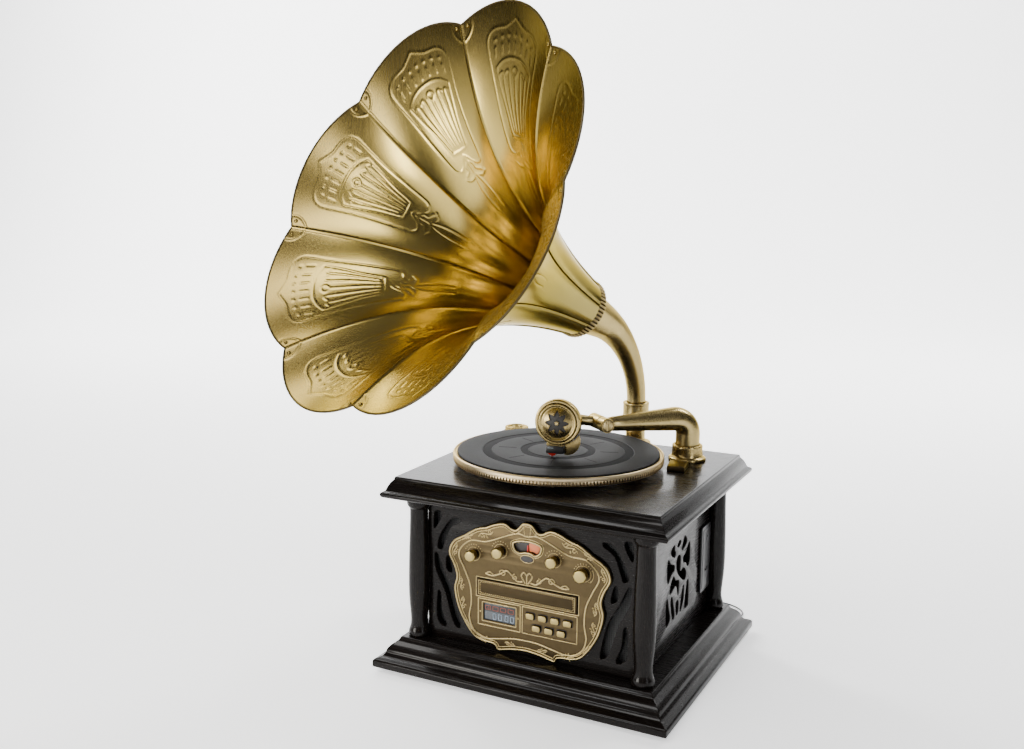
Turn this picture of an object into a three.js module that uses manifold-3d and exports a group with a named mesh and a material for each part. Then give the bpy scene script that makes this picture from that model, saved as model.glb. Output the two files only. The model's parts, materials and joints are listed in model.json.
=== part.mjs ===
// Retro horn gramophone: a square moulded cabinet with a radio, disc tray and turntable,
// a brass tonearm with a soundbox head, and an eight-petalled brass horn on a swivelling elbow.
// Millimetres, +Z up. The cabinet's front is -Y and its right side +X. Everything is laid out
// round the cabinet's centre on the floor, and the whole group is then moved so that its
// origin is at the middle of the footprint of the finished object.
import * as THREE from 'three';
import { mergeVertices } from 'three/addons/utils/BufferGeometryUtils.js';
import Module from 'manifold-3d';

const wasm = await Module();
wasm.setup();

// ---------------------------------------------------------------- driving dimensions
const GAP = 0.3;                // clearance between pieces that touch
const WIDTH = 432;              // base plinth along X
const DEPTH = 406;              // base plinth along Y
const FOOT_HEIGHT = 6;
const PLINTH_TOP = 48;
const SLAB_BOTTOM = 253;
const DECK = 282;               // top of the top slab
const COLUMN_X = 167;
const COLUMN_Y = 154;
const PANEL_OUT_X = 160;        // outer face of the side panels
const PANEL_OUT_Y = 147.5;      // outer face of the front and rear panels
const PANEL_WALL = 12;
const PLATE_FRONT = -153;       // front face of the ornate faceplate
const PLATTER = { x: -21.8, y: -7.6, r: 150.5, matTop: 303.7 };
const ARM = { x: 131.3, y: 112.3, z: 344.5, heading: -131, headX: 137 };
const POST = { x: 29.9, y: 169.5, r: 14.75, collarBottom: 324, collarTop: 348 };
const HORN = {
  mouth: new THREE.Vector3(-133.7, -230.3, 653.4),
  azimuth: 247.75, elevation: 26.18,  // the way the mouth faces
  petals: 8, firstNotch: 98.5,
  notchR: 264.5, petalR: 287.5,        // rim radius at the notches and at the petal tips
  neckR: 18, flare: 145, length: 334,
  lean: 0.31, wall: 1.2,
};

const rad = THREE.MathUtils.degToRad;
const v2 = (x, y) => new THREE.Vector2(x, y);
const v3 = (x, y, z) => new THREE.Vector3(x, y, z);

// ---------------------------------------------------------------- finishes
const finish = (color, roughness, metalness) =>
  new THREE.MeshStandardMaterial({ color, roughness, metalness });
const EBONY = finish(0x17130f, 0.35, 0);
const BRASS = finish(0xa88f52, 0.35, 1);
const HORN_BRASS = finish(0x9c8443, 0.32, 1);
const BRONZE = finish(0x6b5b41, 0.5, 1);
const BUTTON_BRASS = finish(0xcdb567, 0.4, 1);
const STEEL = finish(0x9a9a98, 0.3, 1);
const RUBBER = finish(0x1b1b1b, 0.8, 0);
const MAT_RUBBER = finish(0x2f302f, 0.85, 0);
const MESH_BLACK = finish(0x0c0c0c, 0.9, 0);
const PLASTIC = finish(0x111111, 0.45, 0);
const RED = finish(0xb3241c, 0.4, 0);
const SCREEN = finish(0x5d6a70, 0.2, 0);
const BOARD = finish(0x1f5a35, 0.6, 0);
const RIM = finish(0xb9a67c, 0.4, 1);
const WIRE = finish(0x151515, 0.6, 0);

// ---------------------------------------------------------------- geometry helpers
function outward(geometry) {
  const p = geometry.attributes.position;
  const index = geometry.index.array;
  const [a, b, c] = [v3(), v3(), v3()];
  let volume = 0;
  for (let i = 0; i < index.length; i += 3) {
    a.fromBufferAttribute(p, index[i]);
    b.fromBufferAttribute(p, index[i + 1]);
    c.fromBufferAttribute(p, index[i + 2]);
    volume += a.dot(b.cross(c));
  }
  if (volume < 0) {
    for (let i = 0; i < index.length; i += 3) {
      [index[i], index[i + 1]] = [index[i + 1], index[i]];
    }
  }
  return geometry;
}

function welded(geometry) {
  const bare = geometry.index ? geometry.clone() : mergeVertices(geometry);
  bare.deleteAttribute('normal');
  bare.deleteAttribute('uv');
  const merged = mergeVertices(bare, 1e-4);
  const index = merged.index.array;
  const kept = [];
  for (let i = 0; i < index.length; i += 3) {
    const [a, b, c] = [index[i], index[i + 1], index[i + 2]];
    if (a !== b && b !== c && c !== a) kept.push(a, b, c);
  }
  merged.setIndex(kept);
  return outward(merged);
}

function toManifold(geometry) {
  const g = welded(geometry);
  return new wasm.Manifold(new wasm.Mesh({
    numProp: 3,
    vertProperties: new Float32Array(g.attributes.position.array),
    triVerts: new Uint32Array(g.index.array),
  }));
}

function fromManifold(solid) {
  const mesh = solid.getMesh();
  const g = new THREE.BufferGeometry();
  g.setAttribute('position', new THREE.BufferAttribute(new Float32Array(mesh.vertProperties), 3));
  g.setIndex(Array.from(mesh.triVerts));
  return g;
}

const cut = (body, ...tools) =>
  fromManifold(tools.reduce((s, t) => s.subtract(toManifold(t)), toManifold(body)));
const join = (body, ...more) =>
  fromManifold(more.reduce((s, t) => s.add(toManifold(t)), toManifold(body)));

// A closed skin over equal rings of points. Open ends get flat caps; a looped skin, such as
// the outside and inside of a pipe, joins its last ring to its first.
function skin(rings, looped = false) {
  const count = rings[0].length;
  const position = rings.flat().flatMap((p) => [p.x, p.y, p.z]);
  const index = [];
  const rows = looped ? rings.length : rings.length - 1;
  for (let i = 0; i < rows; i++) {
    const next = (i + 1) % rings.length;
    for (let j = 0; j < count; j++) {
      const k = (j + 1) % count;
      const [a, b, c, d] = [i * count + j, i * count + k, next * count + j, next * count + k];
      index.push(a, b, d, a, d, c);
    }
  }
  if (!looped) {
    const last = (rings.length - 1) * count;
    for (let j = 1; j < count - 1; j++) {
      index.push(0, j + 1, j, last, last + j, last + j + 1);
    }
  }
  const g = new THREE.BufferGeometry();
  g.setAttribute('position', new THREE.Float32BufferAttribute(position, 3));
  g.setIndex(index);
  return outward(g);
}

// A turned solid about +Z from [radius, height] pairs, which start and end on the axis or,
// where the piece has a bore, close on themselves.
function turned(profile, segments = 20) {
  const points = profile.map(([r, z]) => v2(r, z));
  if (profile[0][0] > 0) points.push(points[0].clone());
  return welded(new THREE.LatheGeometry(points, segments).rotateX(Math.PI / 2));
}

function box(x0, x1, y0, y1, z0, z1) {
  return new THREE.BoxGeometry(x1 - x0, y1 - y0, z1 - z0)
    .translate((x0 + x1) / 2, (y0 + y1) / 2, (z0 + z1) / 2);
}

function rod(radius, z0, z1, segments = 16) {
  return new THREE.CylinderGeometry(radius, radius, z1 - z0, segments)
    .rotateX(Math.PI / 2).translate(0, 0, (z0 + z1) / 2);
}

// A flat outline in (x, z), made solid between two depths along Y.
function slabXZ(points, yFront, yBack, holes = []) {
  const shape = new THREE.Shape(points.map(([x, z]) => v2(x, z)));
  shape.holes = holes.map((hole) => new THREE.Path(hole.map(([x, z]) => v2(x, z))));
  return new THREE.ExtrudeGeometry(shape, { depth: yBack - yFront, bevelEnabled: false })
    .rotateX(Math.PI / 2).translate(0, yBack, 0);
}

// A smooth closed outline through a few points.
function smooth(points, count) {
  const curve = new THREE.CatmullRomCurve3(points.map(([x, z]) => v3(x, z, 0)), true, 'centripetal');
  return curve.getSpacedPoints(count).slice(0, -1).map((p) => [p.x, p.y]);
}

const mirrored = (points) => points.map(([x, z]) => [-x, z]);

function circle(x, z, r, count) {
  return Array.from({ length: count }, (_, i) => {
    const t = (2 * Math.PI * (i + 0.5)) / count;
    return [x + r * Math.cos(t), z + r * Math.sin(t)];
  });
}

// Points of a ring round a place on a path: centre, two cross directions and a radius.
function ringAt(centre, side, up, radius, count) {
  return Array.from({ length: count }, (_, i) => {
    const t = (2 * Math.PI * i) / count;
    return centre.clone()
      .addScaledVector(side, radius * Math.cos(t))
      .addScaledVector(up, radius * Math.sin(t));
  });
}

// A pipe whose path stays in one upright plane: stations hold centre, direction and radius.
function pipe(stations, wall, count) {
  const ringOf = (station, radius) => {
    const side = station.side.clone().normalize();
    const up = v3().crossVectors(side, station.along).normalize();
    return ringAt(station.centre, side, up, radius, count);
  };
  const outer = stations.map((s) => ringOf(s, s.radius));
  const inner = stations.map((s) => ringOf(s, s.radius - wall)).reverse();
  return skin([...outer, ...inner], true);
}

const phonograph = new THREE.Group();
function part(name, geometry, material, parent = phonograph) {
  const mesh = new THREE.Mesh(geometry, material);
  mesh.name = name;
  parent.add(mesh);
  return mesh;
}

// ---------------------------------------------------------------- cabinet
// A square moulding: a stack of rectangles, each [inset from the base's edge, height].
function moulding(levels) {
  return skin(levels.map(([inset, z]) => {
    const [x, y] = [WIDTH / 2 - inset, DEPTH / 2 - inset];
    return [v3(x, y, z), v3(-x, y, z), v3(-x, -y, z), v3(x, -y, z)];
  }));
}

const COLUMN_PROFILE = [
  [0, 0], [14, 0], [15.2, 3], [15.2, 8], [13.5, 13.5], [12.2, 17.5], [12.1, 24], [13, 37],
  [14.8, 62], [15, 92], [14.4, 122], [13.4, 152], [12.9, 177], [13, 187], [16, 190],
  [17, 194], [17, 199], [16, 202], [16, 204.4], [0, 204.4],
];
const CORNERS = {
  front_left: [-1, -1], front_right: [1, -1], rear_left: [-1, 1], rear_right: [1, 1],
};

function column(extra = 0) {
  const grown = COLUMN_PROFILE.map(([r, z]) => [r > 0 ? r + extra : 0, z]);
  return turned(grown, 12);
}

function addCabinet() {
  const plinth = moulding([
    [2.5, FOOT_HEIGHT + GAP], [0, 9], [0, 15], [2, 18.5], [6.5, 21], [12, 24], [14, 28],
    [16, 33], [19.5, 37], [24.5, 40.5], [28, 43.5], [30, 47], [32, PLINTH_TOP],
  ]);
  const well = box(-140, 140, -128, 128, 18, PLINTH_TOP + 1);
  part('base_plinth', cut(plinth, well), EBONY);

  const slab = moulding([
    [13, SLAB_BOTTOM], [9.5, 255.5], [9, 258], [10.5, 260.5], [13, 261.5], [15.5, 263],
    [17, 268], [19.5, 273], [22.5, 276.5], [24.5, 279], [25, DECK],
  ]);
  const hole = (x, y, r) => rod(r, SLAB_BOTTOM - 1, DECK + 1, 16).translate(x, y, 0);
  part('top_slab', cut(
    slab,
    hole(PLATTER.x, PLATTER.y, 11.5),
    hole(PULLEY.x, PULLEY.y, 9),
    hole(ARM.x, ARM.y, 8),
    hole(POST.x, POST.y, 11),
  ), EBONY);

  for (const [corner, [sx, sy]] of Object.entries(CORNERS)) {
    part(`column_${corner}`, column(), EBONY)
      .position.set(sx * COLUMN_X, sy * COLUMN_Y, PLINTH_TOP + GAP);
    const foot = turned([[0, 0], [18.5, 0], [20, 1.5], [20, FOOT_HEIGHT], [0, FOOT_HEIGHT]], 16);
    part(`foot_${corner}`, foot, RUBBER).position.set(sx * 181, sy * 171, 0);
  }
}

// ---------------------------------------------------------------- panels with fretwork
const PANEL_BOTTOM = PLINTH_TOP + GAP;
const PANEL_TOP = SLAB_BOTTOM - GAP;
// The right half of the front fretwork; the left half mirrors it. Each is [x, z].
const FRONT_FRETS = [
  { points: [[134.5, 228], [140, 232.5], [146.5, 228], [147, 207], [140.6, 214]], count: 10 },
  {
    points: [[106, 226], [120, 222.5], [136, 200], [141.3, 181.5], [134.5, 177], [130, 189],
      [121, 210], [106.5, 220.5]],
    count: 16,
  },
  {
    points: [[146, 169], [141, 169.5], [129, 143], [114, 115], [105, 74], [107, 66],
      [117, 77], [129, 116], [144, 147]],
    count: 18,
  },
  { points: [[127, 167], [122.5, 169], [118, 152], [119.5, 145.5], [127, 152]], count: 9 },
  { points: [[141, 113], [136.5, 113.5], [134, 88], [127, 68], [132.5, 65], [142, 77]], count: 12 },
];
// The side fretwork, [y, z], the same on both sides.
const SIDE_FRETS = [
  [[26, 195], [35, 187], [31, 181], [16, 176], [14, 180], [20, 190]],
  [[2, 195], [8, 191], [-1, 186], [-8, 189]],
  [[-21, 194], [-18, 186], [-14, 181], [-19, 176], [-31, 182], [-34, 189]],
  [[46, 180], [50, 174], [51, 153], [43, 145], [34, 153], [22, 157], [21, 165], [33, 169]],
  [[-44, 180], [-34, 171], [-18, 164], [-19, 157], [-32, 154], [-45, 146], [-49, 170]],
  [[4, 173], [9, 167], [9, 148], [23, 149], [36, 138], [27, 129], [-6, 152], [-7, 171]],
  [[-20, 149], [-10, 140], [4, 136], [5, 127], [2, 114], [-9, 132], [-34, 127], [-31, 141]],
  [[-43, 124], [-38, 110], [-31, 95], [-33, 88], [-47, 86], [-48, 120]],
  [[-23, 120], [-17, 106], [-11, 90], [-18, 86], [-28, 107], [-29, 119]],
  [[3, 107], [6, 98], [4, 89], [-3, 88], [-5, 105]],
  [[28, 121], [28, 103], [17, 87], [14, 92], [19, 110], [24, 121]],
  [[48, 123], [51, 88], [46, 84], [34, 87], [40, 117]],
];
const PLATE_OPENING = { x: 88, z0: 84, z1: 206 };   // behind the faceplate

function rectangle(x0, x1, z0, z1) {
  return [[x0, z0], [x1, z0], [x1, z1], [x0, z1]];
}

function addPanels() {
  const grownColumns = Object.values(CORNERS).map(([sx, sy]) =>
    column(GAP).translate(sx * COLUMN_X, sy * COLUMN_Y, PANEL_BOTTOM));
  const wall = rectangle(-PANEL_OUT_X, PANEL_OUT_X, PANEL_BOTTOM, PANEL_TOP);
  const frets = FRONT_FRETS.flatMap(({ points, count }) => {
    const outline = smooth(points, count);
    return [outline, mirrored(outline)];
  });
  const opening = rectangle(-PLATE_OPENING.x, PLATE_OPENING.x, PLATE_OPENING.z0, PLATE_OPENING.z1);
  const inner = PANEL_OUT_Y - PANEL_WALL;
  part('front_panel', cut(
    slabXZ(wall, -PANEL_OUT_Y, -inner, [...frets, opening]),
    ...grownColumns.slice(0, 2),
  ), EBONY);
  part('rear_panel', cut(
    slabXZ(wall, inner, PANEL_OUT_Y, [circle(AERIAL.x, AERIAL.z, 3.6, 12)]),
    ...grownColumns.slice(2),
  ), EBONY);

  const sideWall = rectangle(-(inner - GAP), inner - GAP, PANEL_BOTTOM, PANEL_TOP);
  const sideFrets = SIDE_FRETS.map((points) => smooth(points, 10));
  const side = slabXZ(sideWall, 0, PANEL_WALL, sideFrets);
  // Turned a quarter about Z, the outline's x runs along the cabinet's Y.
  const right = side.clone().rotateZ(Math.PI / 2).translate(PANEL_OUT_X, 0, 0);
  part('right_panel', welded(right), EBONY);
  const left = side.clone().rotateZ(Math.PI / 2).translate(-PANEL_OUT_X + PANEL_WALL, 0, 0);
  part('left_panel', welded(left), EBONY);

  const [gx, gy, thick] = [PANEL_OUT_X - PANEL_WALL - GAP, inner - GAP, 1];
  const liner = new THREE.Shape([
    v2(-gx, 128), v2(-gx, -gy), v2(gx, -gy), v2(gx, 128),
    v2(gx - thick, 128), v2(gx - thick, -gy + thick),
    v2(-gx + thick, -gy + thick), v2(-gx + thick, 128),
  ]);
  const sheet = new THREE.ExtrudeGeometry(liner, { depth: 184, bevelEnabled: false })
    .translate(0, 0, 60);
  part('grille_liner', cut(
    sheet,
    box(-90, 90, -gy - 1, -gy + 2, 82, 208),
  ), MESH_BLACK);

  for (const [name, sign] of [['speaker_left', -1], ['speaker_right', 1]]) {
    const cone = turned([
      [0, 16], [12, 18], [44, 3], [46, 0], [52, 0], [52, 3], [47, 5], [26, 34], [31, 36],
      [31, 50], [0, 50],
    ], 16);
    const front = gx - thick - GAP;
    part(name, welded(cone.rotateY(-sign * Math.PI / 2).translate(sign * front, 0, 135)), PLASTIC);
  }
}

// ---------------------------------------------------------------- faceplate and controls
// The right half of the faceplate's outline from the crest down, [x, z].
const PLATE_HALF = [
  [0, 238], [8, 236], [14, 229], [20, 226], [34, 232.5], [50, 229], [62, 223.5], [77, 219],
  [95, 207.5], [113, 196], [120.3, 178], [112, 160], [108, 145], [111.5, 127], [105, 100],
  [93, 78], [80, 63], [66, 58], [52, 57], [46, 55], [42, 49.5], [20, 54], [0, 56],
];
const KNOBS = {
  knob_volume: [-80.5, 181.5, 8.4], knob_source: [-39.6, 192, 8.4],
  knob_band: [39.6, 192, 8.4], knob_tuning: [81, 181, 9.6],
};
const BUTTON = { w: 11.6, h: 8.2, pitch: 18.2, travel: 1.2, front: -156.5 };
const BUTTON_ROWS = [{ x: 6, z: 108.6, count: 4 }, { x: 15.5, z: 92.8, count: 3 }];
const SCREEN_BOX = { x0: -65, x1: -17, z0: 90, z1: 114 };
const TRAY = { x0: -74, x1: 73.5, z0: 124.5, z1: 148.5 };
// The tuning window: a fan between two arcs, [x, z].
const DIAL_WINDOW = [
  [-20, 206], [-11, 209.6], [0, 210.8], [11, 209.6], [20, 206], [15, 194.5], [8, 196.4],
  [0, 197], [-8, 196.4], [-15, 194.5],
];

function buttonPlaces() {
  return BUTTON_ROWS.flatMap(({ x, z, count }) =>
    Array.from({ length: count }, (_, i) => [x + i * BUTTON.pitch, z]));
}

function cushionOutline(x, z, w, h, corner) {
  const [a, b] = [w / 2, h / 2];
  return [
    [x - a + corner, z - b], [x + a - corner, z - b], [x + a, z - b + corner],
    [x + a, z + b - corner], [x + a - corner, z + b], [x - a + corner, z + b],
    [x - a, z + b - corner], [x - a, z - b + corner],
  ];
}

function addFront() {
  const outline = [...PLATE_HALF, ...mirrored(PLATE_HALF.slice(1, -1)).reverse()];
  const plateBack = -PANEL_OUT_Y - GAP;
  const holes = [
    ...Object.values(KNOBS).map(([x, z]) => circle(x, z, 3.6, 10)),
    ...buttonPlaces().map(([x, z]) => cushionOutline(x, z, BUTTON.w + 0.8, BUTTON.h + 0.8, 1.5)),
    rectangle(SCREEN_BOX.x0, SCREEN_BOX.x1, SCREEN_BOX.z0, SCREEN_BOX.z1),
    rectangle(TRAY.x0 - 0.5, TRAY.x1 + 0.5, TRAY.z0 - 0.5, TRAY.z1 + 0.5),
  ];
  const plate = slabXZ(outline, PLATE_FRONT, plateBack, holes);
  const dialRecess = slabXZ(DIAL_WINDOW, PLATE_FRONT - 1, PLATE_FRONT + 3.2);
  part('faceplate', cut(plate, dialRecess), BRONZE);

  // The dial's needle moves inside the window's recess.
  part('dial_pointer', box(-0.6, 0.6, PLATE_FRONT + 1, PLATE_FRONT + 2.6, 197.6, 206),
    RED);

  for (const [name, [x, z, r]] of Object.entries(KNOBS)) {
    // Eight-sided cap, darker collar and shaft. Turned about Z, then laid along -Y.
    const knob = turned([
      [0, 0], [3, 0], [3, 23], [r - 1.4, 25], [r - 1, 33], [r, 33.5], [r, 35.5], [r - 1.5, 37],
      [0, 37],
    ], 8);
    part(name, knob.rotateX(Math.PI / 2), BUTTON_BRASS).position.set(x, -130, z);
  }
  buttonPlaces().forEach(([x, z], i) => {
    const cap = slabXZ(cushionOutline(x, z, BUTTON.w, BUTTON.h, 1.5), BUTTON.front, -133.5);
    part(`button_${i + 1}`, welded(cap), BUTTON_BRASS);
  });
  part('display_screen', box(
    SCREEN_BOX.x0 + GAP, SCREEN_BOX.x1 - GAP, PLATE_FRONT + 1.5, plateBack,
    SCREEN_BOX.z0 + GAP, SCREEN_BOX.z1 - GAP,
  ), SCREEN);

  // The disc drawer: a front bar and a tray with a round recess for a 120 mm disc.
  const door = box(TRAY.x0, TRAY.x1, PLATE_FRONT - 2.5, PLATE_FRONT + 2.5, TRAY.z0, TRAY.z1);
  const bed = box(-67, 67, PLATE_FRONT + 2, -8, 129, 136);
  const recess = rod(61, 132, 137, 28).translate(0, -84, 0);
  part('cd_tray', join(door, cut(bed, recess)), BRONZE);

  const boardHoles = [rectangle(-78, 78, 121, 152)];
  part('circuit_board', welded(slabXZ(rectangle(-96, 96, 84, 206), -129.6, -128, boardHoles)), BOARD);

  // The side socket plate, with a shallow socket recess and a small round lamp hole.
  const plateOutline = cushionOutline(0, 0, 41, 100, 2.5);
  const port = cut(
    slabXZ(plateOutline, 0, 3.6),
    slabXZ(rectangle(-7, 7, -20, -14.5), -1, 2.2),
    slabXZ(circle(2, 32, 1.8, 8), -1, 2),
  );
  part('usb_plate', port.rotateZ(Math.PI / 2).translate(PANEL_OUT_X + GAP + 3.6, 117, 136), BRONZE);
}

// ---------------------------------------------------------------- turntable
const SUB_RIM = 62;            // the ring under the platter that the belt drives
const PULLEY = {
  r: 6, distance: 105, z: 289.5,
  x: PLATTER.x - 105 * Math.SQRT1_2, y: PLATTER.y - 105 * Math.SQRT1_2,
};

// A flat belt round two pulleys on the X axis, the big one at the origin.
function beltOutline(big, small, distance, steps) {
  const tangent = Math.acos((big - small) / distance);
  const points = [];
  for (let i = 0; i <= steps; i++) {
    const t = tangent + ((2 * Math.PI - 2 * tangent) * i) / steps;
    points.push(v2(big * Math.cos(t), big * Math.sin(t)));
  }
  for (let i = 0; i <= 6; i++) {
    const t = -tangent + (2 * tangent * i) / 6;
    points.push(v2(distance + small * Math.cos(t), small * Math.sin(t)));
  }
  return points;
}

function addTurntable() {
  const { x, y, r, matTop } = PLATTER;
  const top = matTop - 3.1;
  const turntable = new THREE.Group();
  turntable.position.set(x, y, 0);
  phonograph.add(turntable);
  part('platter', turned([
    [3.95, 285.7], [15, 285.7], [15, 296.5], [SUB_RIM - 4, 296.5], [SUB_RIM - 4, 290.5],
    [SUB_RIM, 290.5], [SUB_RIM, 296.5], [r - 7, 296.5], [r - 7, 290.2], [r - 1, 290.2],
    [r, 291.2], [r, 301], [r - 0.8, 302], [r - 2.6, 302], [r - 3, top], [3.95, top],
  ], 36), RIM, turntable);
  part('slipmat', turned([
    [4.2, top + GAP], [144.6, top + GAP], [144.6, matTop], [109, matTop], [108, matTop - 0.9],
    [95.4, matTop - 0.9], [94.4, matTop], [54.5, matTop], [53.5, matTop - 0.9],
    [43, matTop - 0.9], [42, matTop], [4.2, matTop],
  ], 36), MAT_RUBBER, turntable);
  part('spindle', turned([
    [0, 238], [3.6, 238], [3.6, 310], [2.6, 313], [0, 313.8],
  ], 14), STEEL, turntable);
  part('bearing_housing', turned([
    [0, 232], [11, 232], [11, DECK + GAP], [20, DECK + GAP], [20, 284.5], [19, 285.3],
    [3.95, 285.3], [3.95, 237.7], [0, 237.7],
  ], 16), STEEL, turntable);

  const drive = new THREE.Group();
  drive.position.set(PULLEY.x, PULLEY.y, 0);
  phonograph.add(drive);
  part('motor', turned([
    [0, 222], [20, 222], [20, 250], [17, 252.6], [2, 252.6], [2, 239.7], [0, 239.7],
  ], 16), STEEL, drive);
  part('motor_pulley', turned([
    [0, 240], [1.6, 240], [1.6, PULLEY.z], [7, PULLEY.z], [PULLEY.r, PULLEY.z + 1],
    [PULLEY.r, PULLEY.z + 5], [7, PULLEY.z + 6], [0, PULLEY.z + 6],
  ], 16), STEEL, drive);

  const belt = new THREE.Shape(beltOutline(SUB_RIM + 1.3, PULLEY.r + 1.3, PULLEY.distance, 24));
  belt.holes = [new THREE.Path(beltOutline(SUB_RIM + GAP, PULLEY.r + GAP, PULLEY.distance, 24))];
  const loop = new THREE.ExtrudeGeometry(belt, { depth: 3.4, bevelEnabled: false })
    .rotateZ(rad(225)).translate(0, 0, PULLEY.z + 1.3);
  part('drive_belt', welded(loop), RUBBER, turntable);

  const adapter = turned([
    [3.9, 0], [19, 0], [19, 7], [18, 8.2], [3.9, 8.2],
  ], 24);
  part('adapter_45', adapter, BRASS).position.set(-168, 157, DECK + GAP);

  // The arm's lift lever: a wedge with a sloping top, hinged at its rear end.
  const wedge = new THREE.Shape([v2(0, 0), v2(-34, 0), v2(-34, 6.5), v2(-8, 9.5), v2(0, 7.5)]);
  const lever = new THREE.ExtrudeGeometry(wedge, { depth: 25, bevelEnabled: false })
    .rotateX(Math.PI / 2).rotateZ(Math.PI / 2).translate(-12.5, 0, 0);
  const lift = part('lift_lever', welded(lever), BRASS);
  lift.position.set(134.5, 69.5, DECK + GAP);
  lift.rotation.z = rad(7.8);
}

// ---------------------------------------------------------------- tonearm and head
// In the arm's own group X runs along the arm, Y is its left side and Z is up.
function addTonearm() {
  const arm = new THREE.Group();
  arm.position.set(ARM.x, ARM.y, 0);
  arm.rotation.z = rad(ARM.heading);
  phonograph.add(arm);

  part('tonearm_base', turned([
    [8, DECK + GAP], [27, DECK + GAP], [27, 286], [25, 288.5], [22, 289], [21.7, 304],
    [20.5, 305], [17.9, 305], [17.9, 290], [8, 290],
  ], 20), BRASS, arm);

  // The tube rises from the base, bends over and tapers towards the head.
  const bend = 24;
  const stations = [];
  for (const z of [290.3, ARM.z - bend]) {
    stations.push({ centre: v3(0, 0, z), along: v3(0, 0, 1), radius: 17.5 });
  }
  for (let i = 1; i <= 4; i++) {
    const t = (Math.PI / 2) * (i / 4);
    stations.push({
      centre: v3(bend * (1 - Math.cos(t)), 0, ARM.z - bend + bend * Math.sin(t)),
      along: v3(Math.sin(t), 0, Math.cos(t)),
      radius: 17.5,
    });
  }
  stations.push({ centre: v3(ARM.headX, 0, ARM.z), along: v3(1, 0, 0), radius: 9.6 });
  stations.forEach((s) => { s.side = v3(0, 1, 0); });
  const across = (radius, y0, y1, segments = 18) =>
    rod(radius, -y1, -y0, segments).rotateX(Math.PI / 2).translate(ARM.headX, 0, ARM.z);
  part('tonearm_tube', cut(pipe(stations, 2, 14), across(10.9, -40, 40, 24)), BRASS, arm);

  part('pivot_block', cut(across(10.5, -5, 12), across(8.3, 9, 13), across(3.4, -6, 13, 12)),
    BRASS, arm);
  const slot = box(-1.1, 1.1, 11, 13, -9, 9).translate(ARM.headX, 0, ARM.z);
  part('pivot_screw', cut(join(across(8, 9.3, 12), across(3, -20, 9.6, 12)), slot), BRASS, arm);

  const neck = new THREE.ExtrudeGeometry(
    new THREE.Shape(circle(0, 0, 7.5, 10).map(([x, y]) => v2(x, y))),
    {
      steps: 9,
      bevelEnabled: false,
      extrudePath: new THREE.CatmullRomCurve3([
        v3(140, -21, ARM.z), v3(158, -25, 347.5), v3(180, -25, 352.5), v3(196, -14, 354.8),
        v3(205.3, -1.9, 355),
      ]),
    },
  );
  part('gooseneck', cut(join(across(10.5, -34, -5.3), neck), across(3.3, -21, -5, 12)),
    BRASS, arm);

  // The head's group: origin at the soundbox's centre, X towards the stylus end, Y out of
  // the soundbox's face.
  const head = new THREE.Group();
  head.position.set(212.2, 7.2, 355);
  head.rotation.z = rad(-39);
  arm.add(head);
  const facing = (profile, segments) => turned(profile, segments).rotateX(-Math.PI / 2);
  const can = facing([
    [0, -10], [29, -10], [32.5, -7], [32.5, 3.5], [31, 5], [27.6, 5], [27.6, -5], [0, -5],
  ], 24);
  const shoe = box(-8, 16, -12, 1, -34, -26);
  part('soundbox_body', cut(join(can, shoe), facing([[0, -4.9], [27.6, -4.9], [27.6, 6], [0, 6]], 24)),
    BRASS, head);
  const cover = facing([
    [0, 4.2], [14, 3.4], [22, 1], [26, -1], [27.2, 1.2], [27.2, 6], [25, 7], [21.5, 5.5],
    [15, 8.2], [0, 9.6],
  ], 24);
  const petal = new THREE.CylinderGeometry(1, 1, 14, 8).scale(2, 1, 5.2).translate(0, 4, 9);
  const petals = Array.from({ length: 8 }, (_, i) => petal.clone().rotateY((i * Math.PI) / 4));
  part('soundbox_cover', cut(cover, ...petals), BRASS, head);
  part('cartridge', box(-8, 16.5, -12, 1, -45, -34.3), PLASTIC, head);
  const tip = skin([
    [v3(2, -9, -45.3), v3(16, -9, -45.3), v3(16, -3, -45.3), v3(2, -3, -45.3)],
    [v3(5, -8.2, -48.6), v3(13, -8.2, -48.6), v3(13, -4, -48.6), v3(5, -4, -48.6)],
    [v3(8.5, -6.6, -50.9), v3(9.3, -6.6, -50.9), v3(9.3, -5.8, -50.9), v3(8.5, -5.8, -50.9)],
  ]);
  part('stylus', tip, RED, head);
  // A thin leaf to lift the head by, curved to clear the soundbox's rim.
  const leaf = slabXZ([
    [-8.4, -24], [-8.4, -47], [-14, -47.3], [-21.5, -44.5], [-27.5, -38.5], [-31, -30],
    [-30.8, -22], [-28, -18],
  ], -6, -4.6);
  const clearance = facing([[0, -20], [33, -20], [33, 20], [0, 20]], 24);
  part('finger_lift', cut(leaf, clearance), BRASS, head);
}

// ---------------------------------------------------------------- horn
const mouthAxis = v3(
  Math.cos(rad(HORN.azimuth)) * Math.cos(rad(HORN.elevation)),
  Math.sin(rad(HORN.azimuth)) * Math.cos(rad(HORN.elevation)),
  Math.sin(rad(HORN.elevation)),
);
const mouthSide = v3(0, 0, 1).cross(mouthAxis).normalize();
const mouthUp = v3().crossVectors(mouthAxis, mouthSide);

// The rim between two notches is one round arc. Radius at an angle from the petal's middle.
function rimRadius(angle) {
  const { notchR, petalR, petals } = HORN;
  const half = Math.PI / petals;
  const chord = notchR * Math.cos(half);
  const reach = notchR * Math.sin(half);
  const arcR = (reach ** 2 + (petalR - chord) ** 2) / (2 * (petalR - chord));
  const centre = petalR - arcR;
  return centre * Math.cos(angle) + Math.sqrt(arcR ** 2 - (centre * Math.sin(angle)) ** 2);
}

// The bell's seam line: radius at a distance behind the mouth, and how full the petals are.
const seamRadius = (d) => HORN.neckR + (HORN.notchR - HORN.neckR) * Math.exp(-d / HORN.flare);
const fullness = (d) => 1 - 0.8 * (d / HORN.length) ** 0.8;

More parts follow.
